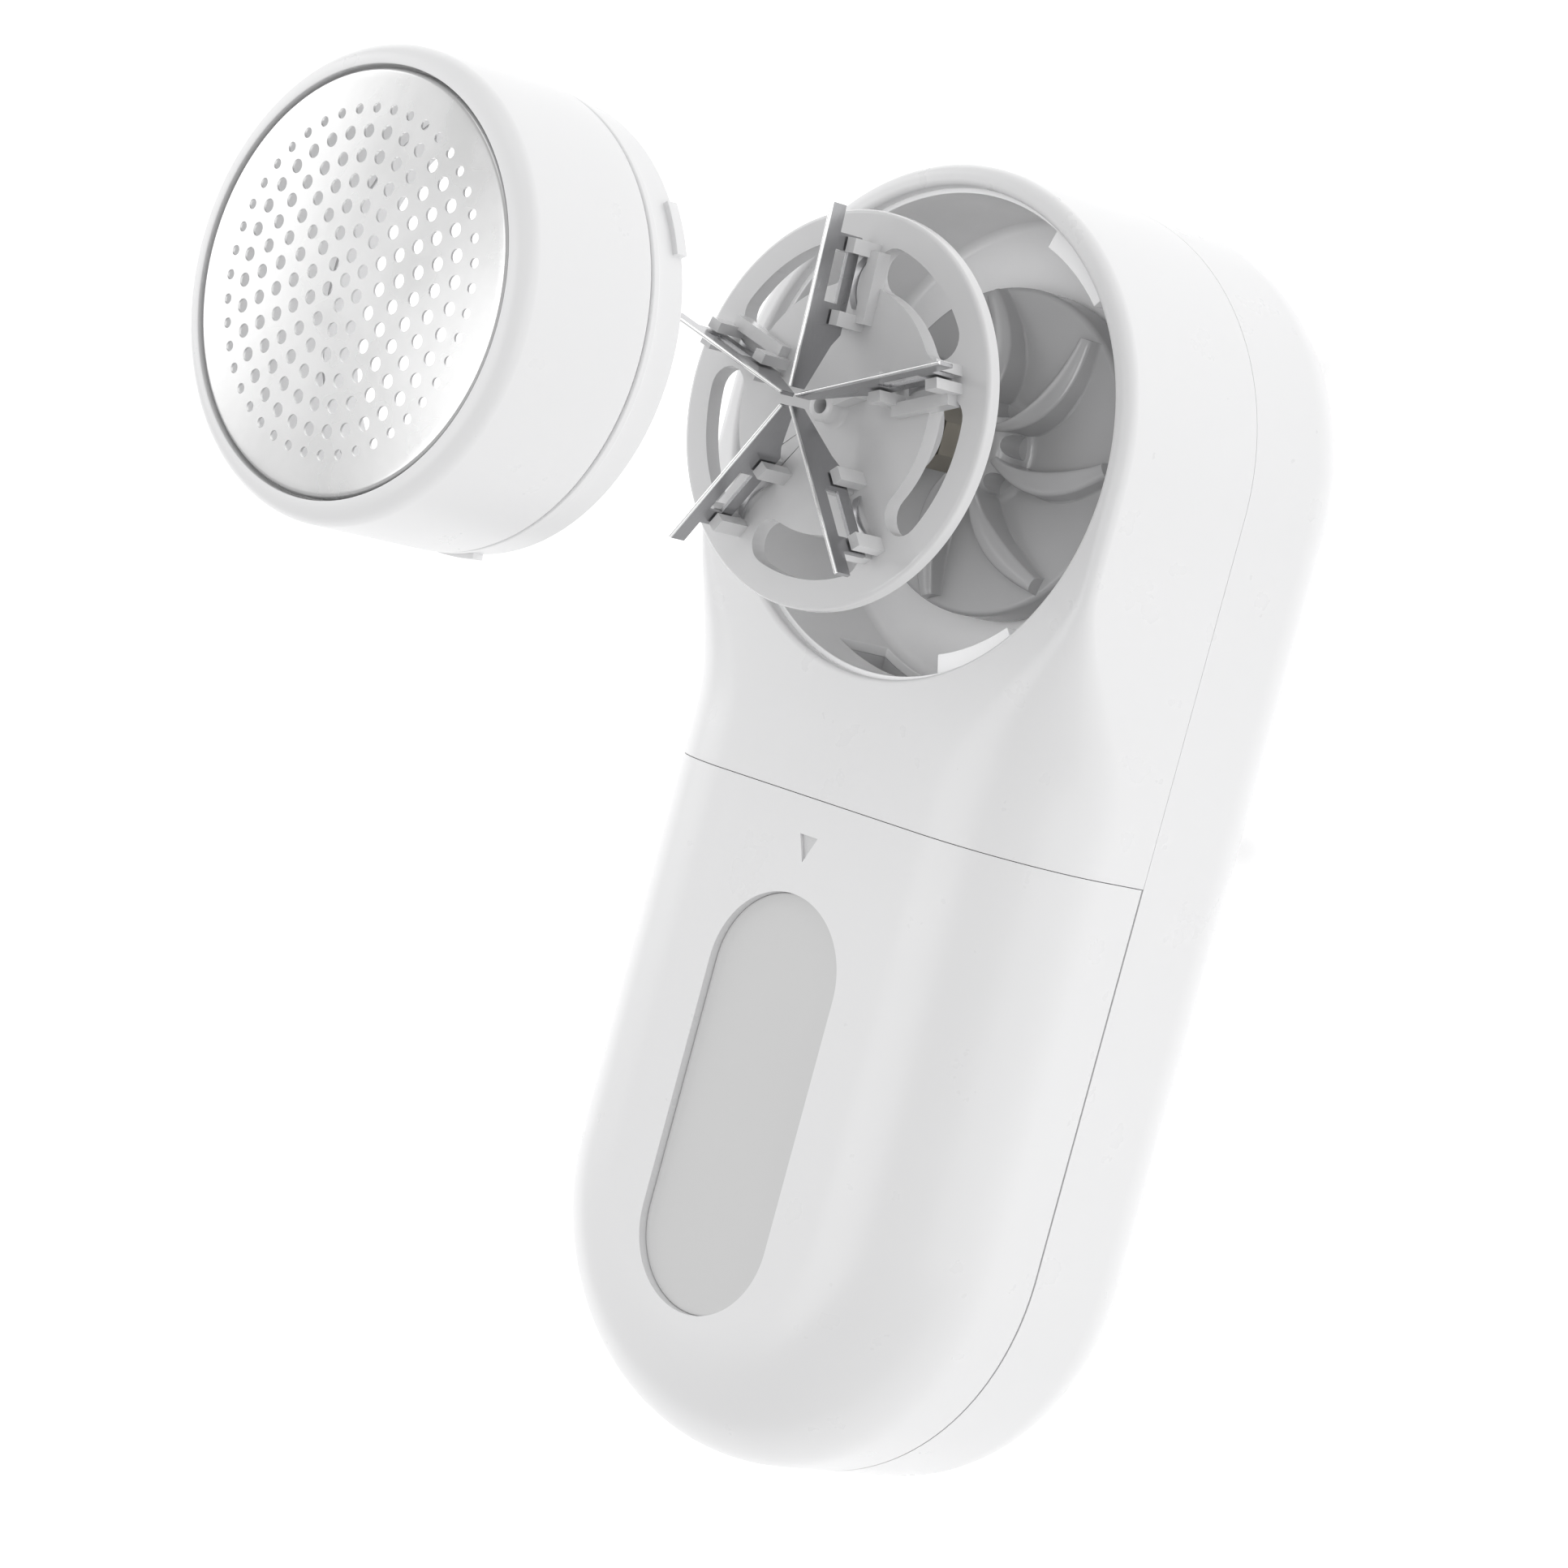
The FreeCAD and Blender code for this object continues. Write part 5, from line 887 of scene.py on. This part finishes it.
def foil_sheet():
    """Flat perforated disc with even triangles, domed, with its edge turned down to a flange."""
    holes = foil_holes()
    flat = FOIL_RADIUS - FOIL_ROUND
    loops = [loop_points(x, y, radius, HOLE_SIDES) for x, y, radius in holes]
    loops.append(loop_points(0, 0, flat, RIM_SIDES))
    spots, edges = [], []
    for loop in loops:
        first = len(spots)
        spots += loop
        edges += [(first + k, first + (k + 1) % len(loop)) for k in range(len(loop))]
    for x, y, radius in holes:
        spots += loop_points(x, y, radius + HOLE_BORDER, HOLE_SIDES)
    for radius in RIM_LOOPS:
        spots += loop_points(0, 0, radius, RIM_SIDES)
    result = delaunay_2d_cdt(spots, edges, [], 1, 1e-6)
    points, triangles = result[0], result[2]
    kept = []
    for triangle in triangles:
        middle = sum((points[k] for k in triangle), Vector((0, 0))) / 3
        if all((middle.x - x) ** 2 + (middle.y - y) ** 2 > (radius * 0.985) ** 2 for x, y, radius in holes):
            kept.append(list(triangle))
    sheet = [(BORE_X + p.x, p.y, FOIL_EDGE_Z + FOIL_DOME * (1 - (p.x ** 2 + p.y ** 2) / FOIL_RADIUS ** 2))
             for p in points]
    rim = [k for k, p in enumerate(points) if abs(p.length - flat) < 1e-4]
    rim.sort(key=lambda k: atan2(points[k].y, points[k].x))
    level = FOIL_EDGE_Z + FOIL_DOME * (1 - flat ** 2 / FOIL_RADIUS ** 2)
    bends = [(flat + FOIL_ROUND * sin(turn), level - FOIL_ROUND * (1 - cos(turn)))
             for turn in (radians(18 * k) for k in range(1, 6))]
    low = FOIL_EDGE_Z - FOIL_SKIRT
    bends += [(FOIL_RADIUS, low + FOIL_FLARE), (FOIL_RADIUS + FOIL_CREASE, low + FOIL_CREASE),
              (FOIL_RADIUS + FOIL_FLARE, low), (FOIL_FLANGE, low)]
    last, count = rim, len(rim)
    for r, z in bends:
        ring = list(range(len(sheet), len(sheet) + count))
        for k in rim:
            direction = points[k].normalized()
            sheet.append((BORE_X + direction.x * r, direction.y * r, z))
        kept += [(last[k], last[(k + 1) % count], ring[(k + 1) % count], ring[k]) for k in range(count)]
        last = ring
    return new_piece("perforated_foil", sheet, kept, foil_steel)


foil = foil_sheet()
shape = bmesh.new()
shape.from_mesh(foil.data)
bmesh.ops.delete(shape, geom=[v for v in shape.verts if not v.link_faces], context="VERTS")
bmesh.ops.recalc_face_normals(shape, faces=shape.faces)
if max(shape.faces, key=lambda face: face.calc_center_median().z).normal.z < 0:
    bmesh.ops.reverse_faces(shape, faces=shape.faces)
shape.to_mesh(foil.data)
shape.free()
thick = foil.modifiers.new("thickness", "SOLIDIFY")
thick.thickness = FOIL * MM
thick.offset = -1.0
settle(foil)
smooth(foil, 40.0)
hand_over(foil, "head", "foil_steel", "foil")

# ---- Locking collar ----
# White ring behind the head shell, parted from it by a narrow groove, with a smaller
# skirt and three feet that turn under the liner's lugs.
RING_RADIUS, RING_INNER, RING_TOP_Z, RING, COLLAR_CHAMFER = 26.85, 24.9, 121.35, 1.2, 0.2
SKIRT_RADIUS, SKIRT_LOW_Z = 26.3, 115.9
FOOT_RADIUS, FOOT, FOOT_SPAN, FOOT_LEAD, FOOT_ROOT = 27.0, 1.6, 14.0, -26.0, 0.5

ring_low = RING_TOP_Z - RING
collar_profile = [(RING_INNER, RING_TOP_Z), (RING_INNER, SKIRT_LOW_Z), (SKIRT_RADIUS - COLLAR_CHAMFER, SKIRT_LOW_Z),
                  (SKIRT_RADIUS, SKIRT_LOW_Z + COLLAR_CHAMFER), (SKIRT_RADIUS, ring_low),
                  (RING_RADIUS - COLLAR_CHAMFER, ring_low), (RING_RADIUS, ring_low + COLLAR_CHAMFER),
                  (RING_RADIUS, RING_TOP_Z - COLLAR_CHAMFER), (RING_RADIUS - COLLAR_CHAMFER, RING_TOP_Z)]
collar = turned("locking_collar", collar_profile, white_plastic, count=224)
catch = sector_piece("foot", SKIRT_RADIUS - FOOT_ROOT, FOOT_RADIUS, SKIRT_LOW_Z, FOOT, FOOT_SPAN)
combine(collar, [about_bore("feet", catch, 3, LUG_FIRST + FOOT_LEAD)], "UNION")
finish_edges(collar, EDGE_SOFTNESS, 2)
hand_over(collar, "collar", "white_casing", "lock_collar")

# ---- Switch knob ----
# White moulded slide on the back casing, with six finger grooves across it. Its stem
# reaches the switch on the control board.
KNOB_LOW_Z, KNOB_TOP_Z, STEM_TOP_Z, STEM_LENGTH, STEM_WIDTH, STEM_LAP = 0.5, 2.1, 6.2, 3.0, 2.0, 0.2
GROOVES, GROOVE_PITCH, GROOVE_HALF, GROOVE_REACH, GROOVE_DEPTH = 6, 1.3, 0.3, 2.6, 0.4

knob = box_piece("slide_knob", KNOB_X - KNOB_LENGTH / 2, KNOB_X + KNOB_LENGTH / 2, -KNOB_WIDTH / 2, KNOB_WIDTH / 2,
                 KNOB_LOW_Z, KNOB_TOP_Z)
groove = box_piece("groove", -GROOVE_HALF, GROOVE_HALF, -GROOVE_REACH, GROOVE_REACH, KNOB_LOW_Z - OVER,
                   KNOB_LOW_Z + GROOVE_DEPTH)
grooves = repeated("grooves", groove, GROOVES, step=(GROOVE_PITCH, 0, 0),
                   start=(KNOB_X - GROOVE_PITCH * (GROOVES - 1) / 2, 0, 0))
combine(knob, [grooves])
stem = box_piece("stem", KNOB_X - STEM_LENGTH / 2, KNOB_X + STEM_LENGTH / 2, -STEM_WIDTH / 2, STEM_WIDTH / 2,
                 KNOB_TOP_Z - STEM_LAP, STEM_TOP_Z)
combine(knob, [stem], "UNION")
finish_edges(knob, 0.18)
hand_over(knob, "switch", "white_casing", "switch_knob")

# ---- Inner mouldings ----
# Pieces kept from the CAD model that are moulded: the air duct and the foil's sleeve, the
# deck, the black cradle and motor cap, the wrapped cell and the frosted light pipe.
def carried(material, *names):
    """Gives pieces kept from the CAD model a detailed material."""
    for name in names:
        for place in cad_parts[name].material_slots:
            place.material = material


carried(grey_gloss, "air_duct", "foil_sleeve")
carried(plastic("deck_white", (0.72, 0.72, 0.72), 0.5, depth=0.15), "mid_deck")
carried(plastic("black_plastic", (0.028, 0.028, 0.03), 0.45, grain=1500.0, depth=0.2, mottle=0.3),
        "motor_end_cap", "battery_cradle")
carried(plastic("cell_wrap", (0.03, 0.10, 0.28), 0.22, grain=260.0, depth=0.1, mottle=0.2), "battery_cell")
carried(plastic("seal_rubber", (0.02, 0.02, 0.021), 0.7, grain=2400.0, depth=0.4, mottle=0.4), "inlet_seal")
carried(plastic("wire_cover", (0.32, 0.012, 0.012), 0.35, grain=1200.0, depth=0.15, mottle=0.3),
        "battery_leads", "motor_leads")
pipe = plastic("clear_pipe", (0.86, 0.86, 0.86), 0.3, grain=1800.0, depth=0.2)
pipe.node_tree.nodes["Principled BSDF"].inputs["Transmission Weight"].default_value = 0.5
carried(pipe, "light_pipe")

# ---- Metal parts ----
# Pieces kept from the CAD model that are metal: plated sheet and screws, the ground shaft,
# turned brass bush and drive, and the dark core and magnets of the motor.
plain_steel = metal("plain_steel", (0.55, 0.55, 0.56), 0.28, lines=(500.0, 500.0, 3000.0), cloud=0.2)
carried(plain_steel, "motor_can", "slide_switch", "charge_port", "blade_springs", "latch_spring", "motor_plate")
carried(metal("shaft_steel", (0.62, 0.62, 0.63), 0.16, lines=(300.0, 300.0, 9000.0), cloud=0.1), "motor_shaft")
carried(metal("screw_steel", (0.42, 0.42, 0.44), 0.3, lines=(1500.0, 1500.0, 5000.0), cloud=0.3),
        "shell_screws", "deck_screws", "motor_screws")
carried(metal("bearing_brass", (0.46, 0.43, 0.37), 0.3, lines=(500.0, 500.0, 7000.0), cloud=0.2),
        "motor_bush", "drive_dog", "hub_insert")
carried(plastic("core_dark", (0.035, 0.03, 0.028), 0.6, grain=2000.0, depth=0.5, mottle=0.6),
        "motor_armature", "motor_magnets")


# ---- Boards and filter ----
# Pieces kept from the CAD model with a pattern of their own: green boards with a faint
# copper run under the mask, and the open grey foam of the exhaust filter.
def patterned(name, low, high, scale, stretch, roughness, depth):
    """A material whose tone follows a cell pattern between two colours."""
    material, nodes, link, shader = node_material(name)
    place = nodes.new("ShaderNodeTexCoord").outputs["Object"]
    cells = nodes.new("ShaderNodeTexVoronoi")
    cells.feature = "DISTANCE_TO_EDGE"
    cells.inputs["Scale"].default_value = scale
    link(vector_of(nodes, link, "MULTIPLY", place, stretch), cells.inputs["Vector"])
    ramp = nodes.new("ShaderNodeValToRGB")
    for stop, position, tone in zip(ramp.color_ramp.elements, (0.04, 0.12), (low, high)):
        stop.position, stop.color = position, (*tone, 1.0)
    link(cells.outputs["Distance"], ramp.inputs["Fac"])
    link(ramp.outputs["Color"], shader.inputs["Base Color"])
    link(calculate(nodes, link, "MULTIPLY_ADD", noise(nodes, link, place, 400.0), 0.2, roughness),
         shader.inputs["Roughness"])
    link(bumped(nodes, link, cells.outputs["Distance"], depth, 0.0002), shader.inputs["Normal"])
    return material


carried(patterned("board_green", (0.03, 0.16, 0.06), (0.012, 0.07, 0.03), 260.0, (1.0, 2.2, 0.2), 0.3, 0.3),
        "control_board", "charge_board")
carried(patterned("filter_foam", (0.14, 0.14, 0.145), (0.04, 0.04, 0.042), 1400.0, (1.0, 1.0, 1.0), 0.75, 1.0),
        "exhaust_filter")
